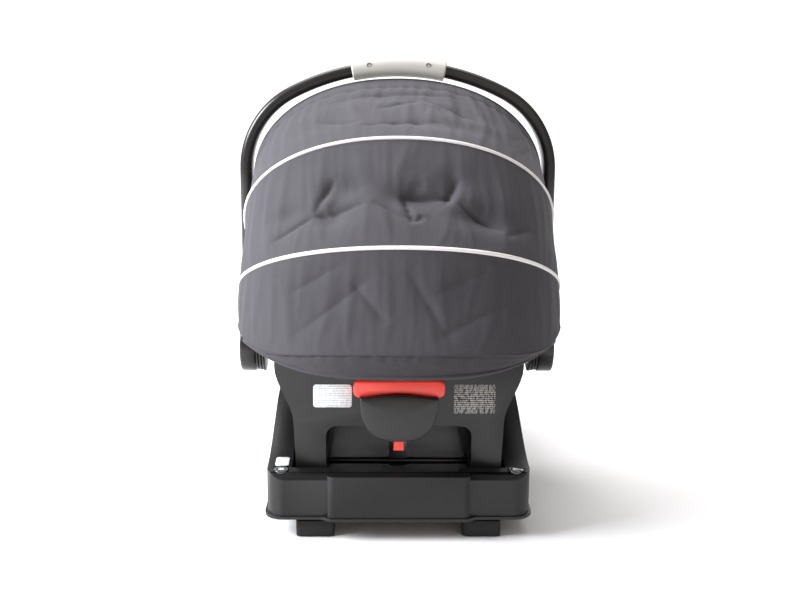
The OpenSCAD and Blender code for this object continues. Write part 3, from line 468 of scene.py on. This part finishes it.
def drape(obj, pins):
    """Lets the cloth settle under its weight; pins is a 0 to 1 weight per point.
    Full settling hangs in upright pleats that stiff canopy cloth doesn't show, so DRAPE_SHARE is kept."""
    group = obj.vertex_groups.new(name="seams")
    for level in np.unique(np.round(pins, 2)):
        group.add(np.flatnonzero(np.round(pins, 2) == level).tolist(), float(level), "REPLACE")
    solver = obj.modifiers.new("drape", "CLOTH")
    for key, value in SOLVER.items():
        setattr(solver.settings, key, value)
    solver.point_cache.frame_end = DRAPE_FRAMES
    scene = bpy.context.scene
    for f in range(1, DRAPE_FRAMES + 1):
        scene.frame_set(f)
    depsgraph = bpy.context.evaluated_depsgraph_get()
    done = obj.evaluated_get(depsgraph).to_mesh()
    co = np.empty(len(done.vertices) * 3, np.float32)
    done.vertices.foreach_get("co", co)
    obj.evaluated_get(depsgraph).to_mesh_clear()
    obj.modifiers.remove(solver)
    start = np.empty(len(co), np.float32)
    obj.data.vertices.foreach_get("co", start)
    obj.data.vertices.foreach_set("co", start + DRAPE_SHARE * (co - start))
    obj.data.update()
    scene.frame_set(1)

# %% Hollows and creases that start the folds
def crease(a, x, start, end, deep, wide):
    """A valley deep millimetres deep along the line between two [angle, x] ends, fading to both ends."""
    (a0, x0), (a1, x1) = start, end
    per_degree = CROWN_R * math.pi / 180
    du, dv = (a1 - a0) * per_degree, x1 - x0
    length = math.hypot(du, dv)
    along = ((a - a0) * per_degree * du + (x - x0) * dv) / length ** 2
    off = ((a - a0) * per_degree * -dv + (x - x0) * du) / length
    return deep * np.exp(-np.abs(off) / wide) * np.clip(np.sin(np.pi * np.clip(along, 0, 1)), 0, 1) ** 0.6

# Hollows: angle, x, depth, half height in degrees, half width.
HOLLOWS = [(50.5, -92, 11.0, 2.6, 34), (47.0, 14, 13.0, 2.6, 46), (50.5, 92, 13.0, 2.8, 44),
           (44.5, -64, 9.0, 2.4, 36), (48, -140, 6.0, 2.0, 24), (43.5, 66, 10.0, 3.2, 22),
           (22, -80, 5.0, 4.0, 44), (26, 50, 5.0, 2.6, 70), (13, 0, 5.0, 2.2, 90), (18, 92, 5.0, 3.2, 40),
           (66, -84, 4.0, 4, 44), (65, 96, 5.0, 4, 50), (71, 0, 3.0, 3, 60)]
# Creases: [angle, x] at both ends, depth, half width.
CREASES = [((49, -110), (42, -84), 8, 4), ((49.5, -110), (54, -160), 7, 4), ((50, -112), (48.5, -44), 8, 3.5),
           ((46.5, 2), (53, 16), 9, 3), ((53, 16), (48, -36), 7, 4), ((46.5, -2), (46.5, 72), 10, 4),
           ((53, 17), (51, 28), 6, 2.5), ((42, 76), (48, 58), 8, 5), ((47, 70), (52.5, 132), 10, 5),
           ((54, 130), (50, 168), 4, 4), ((20, -118), (25, -52), 6, 3), ((19, -30), (14, 34), 6, 4),
           ((14, 34), (21, 118), 6, 4), ((27, -60), (25, 60), 5, 3), ((12, -100), (10.5, 90), 5, 4),
           ((24, 150), (14, 176), 3, 3), ((30, 158), (18, 184), 3, 3), ((66, -140), (61, -70), 4, 7),
           ((67, 40), (61, 110), 4, 7), ((74, -130), (63, -30), 4, 8), ((75, 40), (66, 150), 4, 8),
           ((64, -60), (72, -16), 4, 7), ((62, 6), (75, 60), 3.5, 8)]

def dents(angles, x):
    """How far the cloth stands in, in millimetres: broad hollows, sharp creases and a slow swell."""
    a, x = np.broadcast_arrays(angles, x)
    total = np.zeros(a.shape)
    for angle, across_mm, deep, tall, wide in HOLLOWS:
        total += deep * np.exp(-((a - angle) / tall) ** 2 - ((x - across_mm) / wide) ** 2)
    for start, end, deep, wide in CREASES:
        total += crease(a, x, start, end, deep, wide)
    return total + 0.9 * noise(x / 60, a / 7.0, 3, octaves=3)

# %% Canopy panels
ROWS, COLS = 60, 240
arch_points, arch_mm = arch(COLS)
across = arch_points[:, 1]

SPARE, CLOTH_THICK, PINNED_COLUMNS = 1.03, 0.9, 4
CHANNEL_A, STITCH_A, PUCKER_A = 5.2, 7.6, 8.0

def panel(name, a0, a1, nodes):
    """One panel from angle a0 to a1: the hood pushed in by the dents, then draped."""
    t = np.linspace(0, 1, ROWS)[:, None]
    angles = a0 + (a1 - a0) * t + 0 * across[None]
    slack = np.clip(np.sin(np.pi * t) / 0.5, 0, 1) ** 0.8
    sides = np.clip((arch_points[:, 0] - 120) / 140, 0, 1)[None]
    gathers = 0.8 * np.sin(across / 3.4 + 2.5 * np.sin(across / 23))[None]
    puckers = gathers * np.exp(-((angles - PUCKER_A) / 0.9) ** 2)
    front_tube = 1.6 * np.exp(-((angles - CHANNEL_A) / 1.7) ** 4)
    channel = front_tube - 1.8 * np.exp(-((angles - STITCH_A) / 0.5) ** 2) + puckers
    flare = 3.0 * ease((angles - 44) / 12) * np.clip((np.abs(across) - 150)[None] / 50, 0, 1)
    proud = (-(1.0 + dents(angles, across[None])) * slack * sides + channel * sides
             + flare * np.sin(np.pi * t) ** 0.3)
    points = hood(angles, arch_points, proud)
    obj = mesh_object(name, points.reshape(-1, 3), grid_faces(ROWS, COLS), CANOPY_CLOTH)
    tall_mm = (np.mean(a1) - np.mean(a0)) * math.pi / 180 * CROWN_R
    cloth_uv(obj, ROWS, COLS, arch_mm, tall_mm)
    held = np.zeros((ROWS, COLS))
    held[[0, -1]] = 1
    held[:, :PINNED_COLUMNS] = held[:, -PINNED_COLUMNS:] = 1
    drape(obj, held.ravel())
    wall = obj.modifiers.new("cloth_thickness", "SOLIDIFY")
    wall.thickness, wall.offset = CLOTH_THICK * MM, 0
    fine = obj.modifiers.new("fine", "SUBSURF")
    fine.levels = fine.render_levels = 1
    blend_by_angle(obj)
    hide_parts(*nodes)

gather = gather_line(across)
panel("canopy_top_cloth", FRONT_A, UPPER_A, ["canopy_panel_top"])
panel("canopy_middle_cloth", UPPER_A, LOWER_A, ["canopy_panel_mid"])
panel("canopy_lower_cloth", LOWER_A, gather, ["canopy_panel_low"])

# %% [markdown]
# ## Piping, front channel and hem
# A cord wrapped in silver-white cloth is sewn into each seam and stands out of it as a round bead.
# The hem is a band gathered under the last panel, bound at its lower edge.

# %% Beads along the hood
BEAD_STATIONS, BEAD_SIDES = 220, 10

def bead(name, angle, radius_mm, material, body, node=None, proud=0.0):
    """A round bead of radius_mm along the arch at an angle, swept as a tube round the hood's own curve."""
    pts, _ = arch(BEAD_STATIONS)
    angles = np.broadcast_to(angle(pts[:, 1]) if callable(angle) else angle, len(pts))
    turn = np.linspace(0, 2 * np.pi, BEAD_SIDES, endpoint=False)
    out = pts[:, None] + arch_normals(pts)[:, None] * (proud + radius_mm * np.cos(turn))[None, :, None]
    a = np.radians(angles)[:, None] + radius_mm * np.sin(turn)[None] / np.maximum(pts[:, :1], 60)
    obj = mesh_object(name, turned(out, a).reshape(-1, 3), swept_faces(BEAD_STATIONS, BEAD_SIDES), material)
    cloth_uv(obj, BEAD_STATIONS, BEAD_SIDES, 2 * math.pi * radius_mm, arch_mm)
    outward(obj)
    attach(obj, body)
    if node:
        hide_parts(node)

bead("upper_piping", UPPER_A, 2.3, PIPING_CLOTH, "canopy_mid", "piping_upper", 0.6)
bead("lower_piping", LOWER_A, 2.5, PIPING_CLOTH, "canopy_rear", "piping_lower", 0.6)
bead("front_edge_binding", FRONT_A, 2.2, HEM_CLOTH, "canopy_front")
bead("gather_seam", gather_line, 1.3, HEM_CLOTH, "carrier", proud=-0.4)

# %% Hem band
HEM_ROWS, HEM_UV_MM, HEM_THICK = 26, 40, 1.6
hem_t = np.linspace(0, 1, HEM_ROWS)[:, None]
hem_angles = gather[None] + (hem_line(across) - gather)[None] * hem_t
pleats = 0.8 * np.sin(across / 3.1 + 2 * np.sin(across / 17)) * np.exp(-hem_t / 0.25)
hem_proud = -1.0 - 5.5 * hem_t ** 1.6 + pleats + 1.2 * noise(across[None] / 36, hem_t * 2, 5)
hem_points = hood(hem_angles, arch_points, hem_proud).reshape(-1, 3)
hem = mesh_object("canopy_hem_band", hem_points, grid_faces(HEM_ROWS, COLS), HEM_CLOTH)
cloth_uv(hem, HEM_ROWS, COLS, arch_mm, HEM_UV_MM)
hem_wall = hem.modifiers.new("cloth_thickness", "SOLIDIFY")
hem_wall.thickness, hem_wall.offset = HEM_THICK * MM, -1
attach(hem, "carrier")
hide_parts("canopy_hem")
bead("hem_binding", hem_line, 2.4, HEM_CLOTH, "carrier", proud=-7.2)

# %% [markdown]
# ## Seat shell and cushions
# The shell is a moulded bowl. Its plan is a squared ellipse, its rim dips beside the handle and
# climbs to the head, and every section across it is a deep superellipse. The pad lines the same bowl.

# %% The bowl
SHELL_HALF_W, HEAD, FOOT, RIM_Z, LOW_Z = 172.0, 344.0, 292.0, 238.0, 102.0
PLAN_SQUARE, BOWL_SQUARE = 2.8, 2.4
HALF_LONG, MID_Y = (HEAD + FOOT) / 2, (FOOT - HEAD) / 2

def floor_height(y):
    """Underside along the middle: a power curve that climbs to the head and a steeper one to the feet."""
    return np.where(y < 50, LOW_Z + 150 * (np.maximum(50 - y, 0) / 290) ** 1.6,
                    LOW_Z + 96 * (np.maximum(y - 50, 0) / 240) ** 1.9)

def rim_height(y):
    """Rim: climbs to the head by a power of the distance, dips past the handle and rises to the feet."""
    return np.where(y < -70, RIM_Z + 56 * (np.maximum(-y - 70, 0) / (HEAD - 70)) ** 1.5,
                    RIM_Z - 10 * ease(y / 120) + 26 * ease((y - 120) / (FOOT - 120)))

def bowl(u, s, inset):
    """Points of the bowl at angle u round the plan and share s out from the middle, moved in by inset."""
    x = (SHELL_HALF_W - inset) * signed_power(np.cos(u), 2 / PLAN_SQUARE) * s
    rim_y = MID_Y + (HALF_LONG - inset) * signed_power(np.sin(u), 2 / PLAN_SQUARE)
    y = MID_Y + (rim_y - MID_Y) * s
    top = rim_height(rim_y)
    z = top - (top - floor_height(y) - inset) * (1 - s ** BOWL_SQUARE) ** (1 / BOWL_SQUARE)
    return np.stack(np.broadcast_arrays(x, y + HUB[1], z), -1)

def bowl_surface(name, shares, insets, lifts, material, count=160):
    """A closed bowl skin: rings at the given shares, insets and extra heights, closed at both middles."""
    u = np.linspace(0, 2 * np.pi, count, endpoint=False)
    rings = [bowl(u, np.full(count, s), d) + [0, 0, h] for s, d, h in zip(shares, insets, lifts)]
    points = np.concatenate(rings)
    n = len(rings)
    first, last = bowl(0.0, 0.0, insets[0]), bowl(0.0, 0.0, insets[-1])
    faces = grid_faces(n, count, wrap_v=True).tolist()
    faces += [[(j + 1) % count, j, n * count] for j in range(count)]
    faces += [[(n - 1) * count + j, (n - 1) * count + (j + 1) % count, n * count + 1] for j in range(count)]
    return outward(mesh_object(name, np.vstack([points, first, last]), faces, material))

WALL, PAD_INSET = 4.0, 16.4
inner = np.r_[np.linspace(0.06, 0.9, 22), 0.94, 0.965, 0.985, 0.996]
wall_shares = np.r_[inner, 1.0, 1.0, 1.0, inner[::-1]]
wall_insets = np.r_[np.zeros(len(inner)), 0, WALL / 2, WALL, np.full(len(inner), WALL)]
wall_lifts = np.r_[np.zeros(len(inner)), 0, 1.2, 0, np.zeros(len(inner))]
shell = bowl_surface("carrier_bowl", wall_shares, wall_insets, wall_lifts, SHELL_PLASTIC)
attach(shell, "carrier")
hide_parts("carrier_shell")

# %% Seat pad with sewn channels
pad_steps = np.r_[inner, 1.0, 1.0, 1.0, 1.0, 1.0, inner[::-1]]
pad_insets = np.r_[np.full(len(inner), 4.4), 3.0, -1.0, 3.0, 9.0, 14.0, np.full(len(inner), PAD_INSET)]
pad_lifts = np.r_[np.zeros(len(inner)), 1.6, 5.0, 9.5, 9.0, 4.0, np.zeros(len(inner))]
seat_cushion = bowl_surface("seat_pad_cover", pad_steps, pad_insets, pad_lifts, PAD_CLOTH, 240)
co = np.array([v.co for v in seat_cushion.data.vertices]) / MM
face_up = np.array([v.normal[:] for v in seat_cushion.data.vertices])
y_rel = co[:, 1] - HUB[1]
CHANNEL_GAP, CHANNEL_X = 58, 78
across_gap = np.abs((y_rel + 600) % CHANNEL_GAP - CHANNEL_GAP / 2)
channel = np.minimum(across_gap, np.abs(np.abs(co[:, 0]) - CHANNEL_X))
crown = 2.6 * (1 - np.exp(-(channel / 6.5) ** 2)) + 0.8 * noise(co[:, 0] / 30, co[:, 1] / 30, 2)
top_side = (face_up[:, 2] > 0.15) | (np.abs(co[:, 0]) < 150) & (face_up[:, 2] > 0.02)
co += face_up * np.where(top_side, crown - 1.6, 0)[:, None]
seat_cushion.data.vertices.foreach_set("co", (co * MM).ravel())
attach(seat_cushion, "carrier")
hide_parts("seat_pad")

# %% Pieces that lie on the pad
def pad_height(x, y):
    """Height of the pad at x and y, y from the handle's axis: the bowl's ring that passes through."""
    across_part = np.abs(x / (SHELL_HALF_W - PAD_INSET)) ** PLAN_SQUARE
    along_part = np.abs((y - MID_Y) / (HALF_LONG - PAD_INSET)) ** PLAN_SQUARE
    share = np.clip((across_part + along_part) ** (1 / PLAN_SQUARE), 0.001, 0.999)
    top = rim_height(MID_Y + (y - MID_Y) / share)
    return top - (top - floor_height(y) - PAD_INSET) * (1 - share ** BOWL_SQUARE) ** (1 / BOWL_SQUARE)

def strap_lift(y):
    """How far the straps stand off the pad: they bow up between the shoulders and the buckle."""
    return 3 + 9 * np.sin(np.pi * (y + 138) / 182)

def band(name, ends, middles, width, thick, lift, material, node, quilt=0.0):
    """A strap or a pad along the seat: a rounded section swept from y to y, lift(y) above the pad."""
    n, sides, round_stations, quilt_stations = 60, 28, 4, 15
    y = np.linspace(*ends, n)
    middle = np.linspace(*middles, n)
    base = np.maximum(pad_height(middle, y), pad_height(0 * y, y) + 2) + lift(y)
    slope = np.arctan2(np.gradient(base), np.gradient(y))
    turn = np.linspace(0, 2 * np.pi, sides, endpoint=False)
    flat = 8 if not quilt else 2.6
    across_mm = width / 2 * signed_power(np.cos(turn), 2 / flat)
    from_end = np.minimum(np.arange(n), n - 1 - np.arange(n))
    end_in = np.sqrt(np.clip(1 - (1 - from_end / round_stations) ** 2, 0.02, 1))
    end_in = np.where((from_end < round_stations) & (quilt > 0), end_in, 1)
    pinch = 1 - quilt * np.exp(-((np.arange(n) % quilt_stations - quilt_stations / 2) / 1.4) ** 2)
    up_mm = thick / 2 * signed_power(np.sin(turn), 2 / flat)[None] * (end_in * pinch)[:, None]
    x = middle[:, None] + across_mm[None] * (0.94 + 0.06 * end_in[:, None])
    lifted = thick / 2 + up_mm
    points = np.stack([x, y[:, None] + HUB[1] - lifted * np.sin(slope)[:, None],
                       base[:, None] + lifted * np.cos(slope)[:, None]], -1)
    obj = mesh_object(name, points.reshape(-1, 3), swept_faces(n, sides), material)
    cloth_uv(obj, n, sides, 2 * width, float(abs(ends[1] - ends[0])) * 1.1)
    outward(obj)
    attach(obj, "carrier")
    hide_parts(node)

for side, hand in ((-1, "left"), (1, "right")):
    band("shoulder_strap_" + hand, (-138, 44), (side * 40, side * 26), 38, 1.6, strap_lift, WEBBING,
         "harness_" + hand)
    band("shoulder_cushion_" + hand, (-128, -66), (side * 39.2, side * 34.5), 48, 8,
         lambda y: strap_lift(y) + 3.2, PAD_CLOTH, "shoulder_pad_" + hand, quilt=0.28)
band("crotch_webbing", (84, 120), (0, 0), 38, 1.8, lambda y: 3 + 0 * y, WEBBING, "crotch_strap")
band("adjuster_webbing", (204, 248), (0, 0), 25, 1.6, lambda y: 2 + 0 * y, WEBBING, "adjuster_strap")

# %% Head support
HEAD_INSET, PUFF_BACK, PUFF_FRONT = 24.4, 5.6, 9.4
turn_n, out_n = 90, 34
turns = np.radians(np.linspace(212, 328, turn_n))[:, None]
shares = np.linspace(0.57, 0.88, out_n)[None]
edge_u = np.linspace(-1, 1, turn_n)[:, None]
edge_s = np.linspace(-1, 1, out_n)[None]
puff = ((1 - np.abs(edge_u) ** 8) * (1 - np.abs(edge_s) ** 5)) ** 0.4
puff = puff * (1 - 0.3 * np.exp(-((np.abs(edge_u) - 0.62) / 0.035) ** 2))
turns, shares = np.broadcast_arrays(turns, shares)
skins = [bowl(turns, shares, HEAD_INSET - PUFF_BACK * puff),
         bowl(turns, shares, HEAD_INSET + PUFF_FRONT * puff)]
points = np.concatenate([k.reshape(-1, 3) for k in skins])
cells = grid_faces(turn_n, out_n)
rim = np.r_[np.arange(out_n), np.arange(1, turn_n) * out_n + out_n - 1,
            (turn_n - 1) * out_n + np.arange(out_n - 2, -1, -1), np.arange(turn_n - 2, 0, -1) * out_n]
wall = np.stack([rim, np.roll(rim, -1), np.roll(rim, -1) + turn_n * out_n, rim + turn_n * out_n], -1)
head_faces = np.vstack([cells, cells[:, ::-1] + turn_n * out_n, wall])
head = mesh_object("head_support_cushion", points, head_faces, PAD_CLOTH)
outward(head)
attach(head, "carrier")
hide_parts("head_support")

# %% [markdown]
# ## Carrying handle and release
# The handle is one bent tube: two straight arms, two round shoulders and a gently arched top bar, so
# its middle line is three arcs and two lines. The grip is a rubber sleeve in two halves around it.

# %% The tube of the handle
HANDLE_W, HANDLE_TOP, SHOULDER_R, BAR_R, ARM_FOOT = 218.0, 407.0, 122.0, 330.0, 46.02
BAR_Z = HANDLE_TOP - BAR_R
TURN_A = math.acos((HANDLE_W - SHOULDER_R) / (BAR_R - SHOULDER_R))
SHOULDER_Z = BAR_Z + (BAR_R - SHOULDER_R) * math.sin(TURN_A)

def handle_line():
    """Stations [x, z, direction of the outside] up one arm, over the top and down the other, all tangent."""
    a = np.linspace(0, TURN_A, 30)
    shoulder = np.stack([HANDLE_W - SHOULDER_R + SHOULDER_R * np.cos(a),
                         SHOULDER_Z + SHOULDER_R * np.sin(a), a], -1)
    b = np.linspace(TURN_A, math.pi - TURN_A, 62)[1:-1]
    bar = np.stack([BAR_R * np.cos(b), BAR_Z + BAR_R * np.sin(b), b], -1)
    right = np.vstack([[HANDLE_W, ARM_FOOT, 0], shoulder])
    left = right[::-1] * [-1, 1, -1] + [0, 0, math.pi]
    return np.vstack([right, bar, left])

def rounded_section(wide, tall, radius, corner=7):
    """A rounded rectangle as points [across the tube, along Y]."""
    a = np.linspace(0, np.pi / 2, corner)
    quarter = np.stack([wide / 2 - radius + radius * np.cos(a), tall / 2 - radius + radius * np.sin(a)], -1)
    return np.vstack([quarter, quarter[::-1] * [-1, 1], quarter * [-1, -1], quarter[::-1] * [1, -1]])

def tube_along(name, stations, outlines, material):
    """A closed skin through one outline per station, each turned square to the handle's middle line."""
    x, z, a = stations[:, 0:1], stations[:, 1:2], stations[:, 2:3]
    out, along = outlines[..., 0], outlines[..., 1]
    points = np.stack([x + out * np.cos(a), HUB[1] + along, HUB[2] + z + out * np.sin(a)], -1)
    return outward(mesh_object(name, points.reshape(-1, 3), swept_faces(*out.shape), material))

line = handle_line()
section = rounded_section(18, 34, 8)
outlines = np.broadcast_to(section, (len(line),) + section.shape)
tube = tube_along("handle_bent_tube", line, outlines, HANDLE_PLASTIC)
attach(tube, "handle")
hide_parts("handle_tube")

# %% The grip in two halves, front and back
GRIP_HALF, GRIP_R, END_STATIONS, LONG_STATIONS, GRIP_SIDES = 67.5, 336, 7, 60, 25
GRIP_OUT, GRIP_ALONG_Y, LINING_OUT, LINING_ALONG_Y, END_ROUND = 14, 22, 9.4, 17.4, 2.0

def grip_shell(name, node, half, tone):
    """One half of the grip: a sleeve over the top bar with rounded ends, split along the handle's plane."""
    reach = math.degrees(GRIP_HALF / GRIP_R)
    angles = np.radians(90 + np.r_[np.linspace(-reach, -reach + 0.4, END_STATIONS),
                                   np.linspace(-reach + 0.5, reach - 0.5, LONG_STATIONS),
                                   np.linspace(reach - 0.4, reach, END_STATIONS)])
    from_start = np.arange(len(angles))
    edge = np.minimum(from_start, from_start[::-1])[:, None, None]
    end_share = np.minimum(edge, END_STATIONS - 1) / (END_STATIONS - 1)
    draw_in = (1 - np.sqrt(1 - (1 - end_share) ** 2)) * -END_ROUND
    turn = np.linspace(np.pi / 2, -np.pi / 2, GRIP_SIDES)
    outer = np.stack([GRIP_OUT * signed_power(np.sin(turn), 0.9),
                      GRIP_ALONG_Y * np.abs(np.cos(turn)) ** 0.72], -1)
    lining = np.stack([LINING_OUT * np.sin(turn), LINING_ALONG_Y * np.abs(np.cos(turn)) ** 0.5], -1)[::-1]
    ring = np.vstack([outer, lining]) * [1, half]
    direction = ring / np.linalg.norm(ring, axis=1, keepdims=True)
    direction[GRIP_SIDES:] = 0
    stations = np.stack([BAR_R * np.cos(angles), BAR_Z + BAR_R * np.sin(angles), angles], -1)
    obj = tube_along(name, stations, ring[None] + draw_in * direction[None], tone)
    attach(obj, "handle")
    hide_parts(node)

grip_shell("grip_back_half", "grip_back", -1, GRIP_PLASTIC)
grip_shell("grip_front_half", "grip_front", 1, GRIP_PLASTIC)

# A dark ring of black rubber round each screw is painted shade: it stands for the shaded edge of the hole that its
# head sits in.
RING_SIDES, SCREW_ALONG, SCREW_OUT = 32, 41, 5
RING_SECTION = [(2.5, -20.0), (2.5, -21.9), (3.1, -21.9), (3.1, -20.0)]
for side, hand in ((-1, "left"), (1, "right")):
    turn = np.linspace(0, 2 * np.pi, RING_SIDES, endpoint=False)
    tilt = side * SCREW_ALONG / BAR_R
    x0, z0 = math.sin(tilt) * (BAR_R + SCREW_OUT), BAR_Z + math.cos(tilt) * (BAR_R + SCREW_OUT)
    rings = [np.stack([x0 + k * np.cos(turn), np.full(RING_SIDES, HUB[1] + y),
                       HUB[2] + z0 + k * np.sin(turn)], -1) for k, y in RING_SECTION]
    ring_faces = grid_faces(len(rings), RING_SIDES, wrap_u=True, wrap_v=True)
    recess_shade_ring = outward(mesh_object("screw_recess_painted_shade_" + hand, np.concatenate(rings), ring_faces, FOOT_RUBBER))
    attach(recess_shade_ring, "handle")

# %% The release cover
WALL_Y, COVER_W, COVER_TOP, COVER_LOW, COVER_SQUARE = HUB[1] - 240, 101.0, 188.0, 130.0, 2.6
COVER_CROWN = 4

def cover_ring(share, depth):
    """A ring of the cover: a crowned top over half a superellipse, drawn in by share, at depth."""
    side = np.linspace(1, -1, 40)
    t = np.linspace(np.pi, 2 * np.pi, 90)[1:-1]
    x = np.r_[side, signed_power(np.cos(t), 2 / COVER_SQUARE)] * COVER_W / 2
    z = np.r_[COVER_TOP + COVER_CROWN * np.cos(side * np.pi / 2),
              COVER_TOP - (COVER_TOP - COVER_LOW) * np.abs(np.sin(t)) ** (2 / COVER_SQUARE)]
    middle = (COVER_TOP + COVER_LOW) / 2 + COVER_CROWN
    return np.stack([x * share, np.full(len(x), WALL_Y - depth), middle + (z - middle) * share], -1)

COVER_RINGS = [(1, 0.02), (1, 19), (0.992, 21.2), (0.975, 22.6), (0.94, 23.2), (0.8, 24.3), (0.6, 25.2),
               (0.35, 25.8), (0.04, 26)]
cover_points = np.concatenate([cover_ring(*ring) for ring in COVER_RINGS])
cover_faces = swept_faces(len(COVER_RINGS), len(cover_points) // len(COVER_RINGS))
cover = outward(mesh_object("release_cover_moulding", cover_points, cover_faces, COVER_PLASTIC))

# The red bar slides up in a slot behind the cover's face, so a box of the slot's size is cut out.
SLOT_X, SLOT_Y, SLOT_Z = (-7.5, 7.5), (WALL_Y - 12, WALL_Y - 4), (100, 400)
BOX_FACES = [(0, 1, 3, 2), (4, 6, 7, 5), (0, 4, 5, 1), (2, 3, 7, 6), (0, 2, 6, 4), (1, 5, 7, 3)]
corners = np.stack(np.meshgrid(SLOT_X, SLOT_Y, SLOT_Z, indexing="ij"), -1).reshape(-1, 3)
slot_box = mesh_object("slot_cutter", corners, BOX_FACES, None)
cut = cover.modifiers.new("slot", "BOOLEAN")
cut.object, cut.operation, cut.solver = slot_box, "DIFFERENCE", "EXACT"
carved = bpy.data.meshes.new_from_object(cover.evaluated_get(bpy.context.evaluated_depsgraph_get()))
cover.modifiers.remove(cut)
cover.data = carved
bpy.data.objects.remove(slot_box)
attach(cover, "carrier")
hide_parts("release_cover")
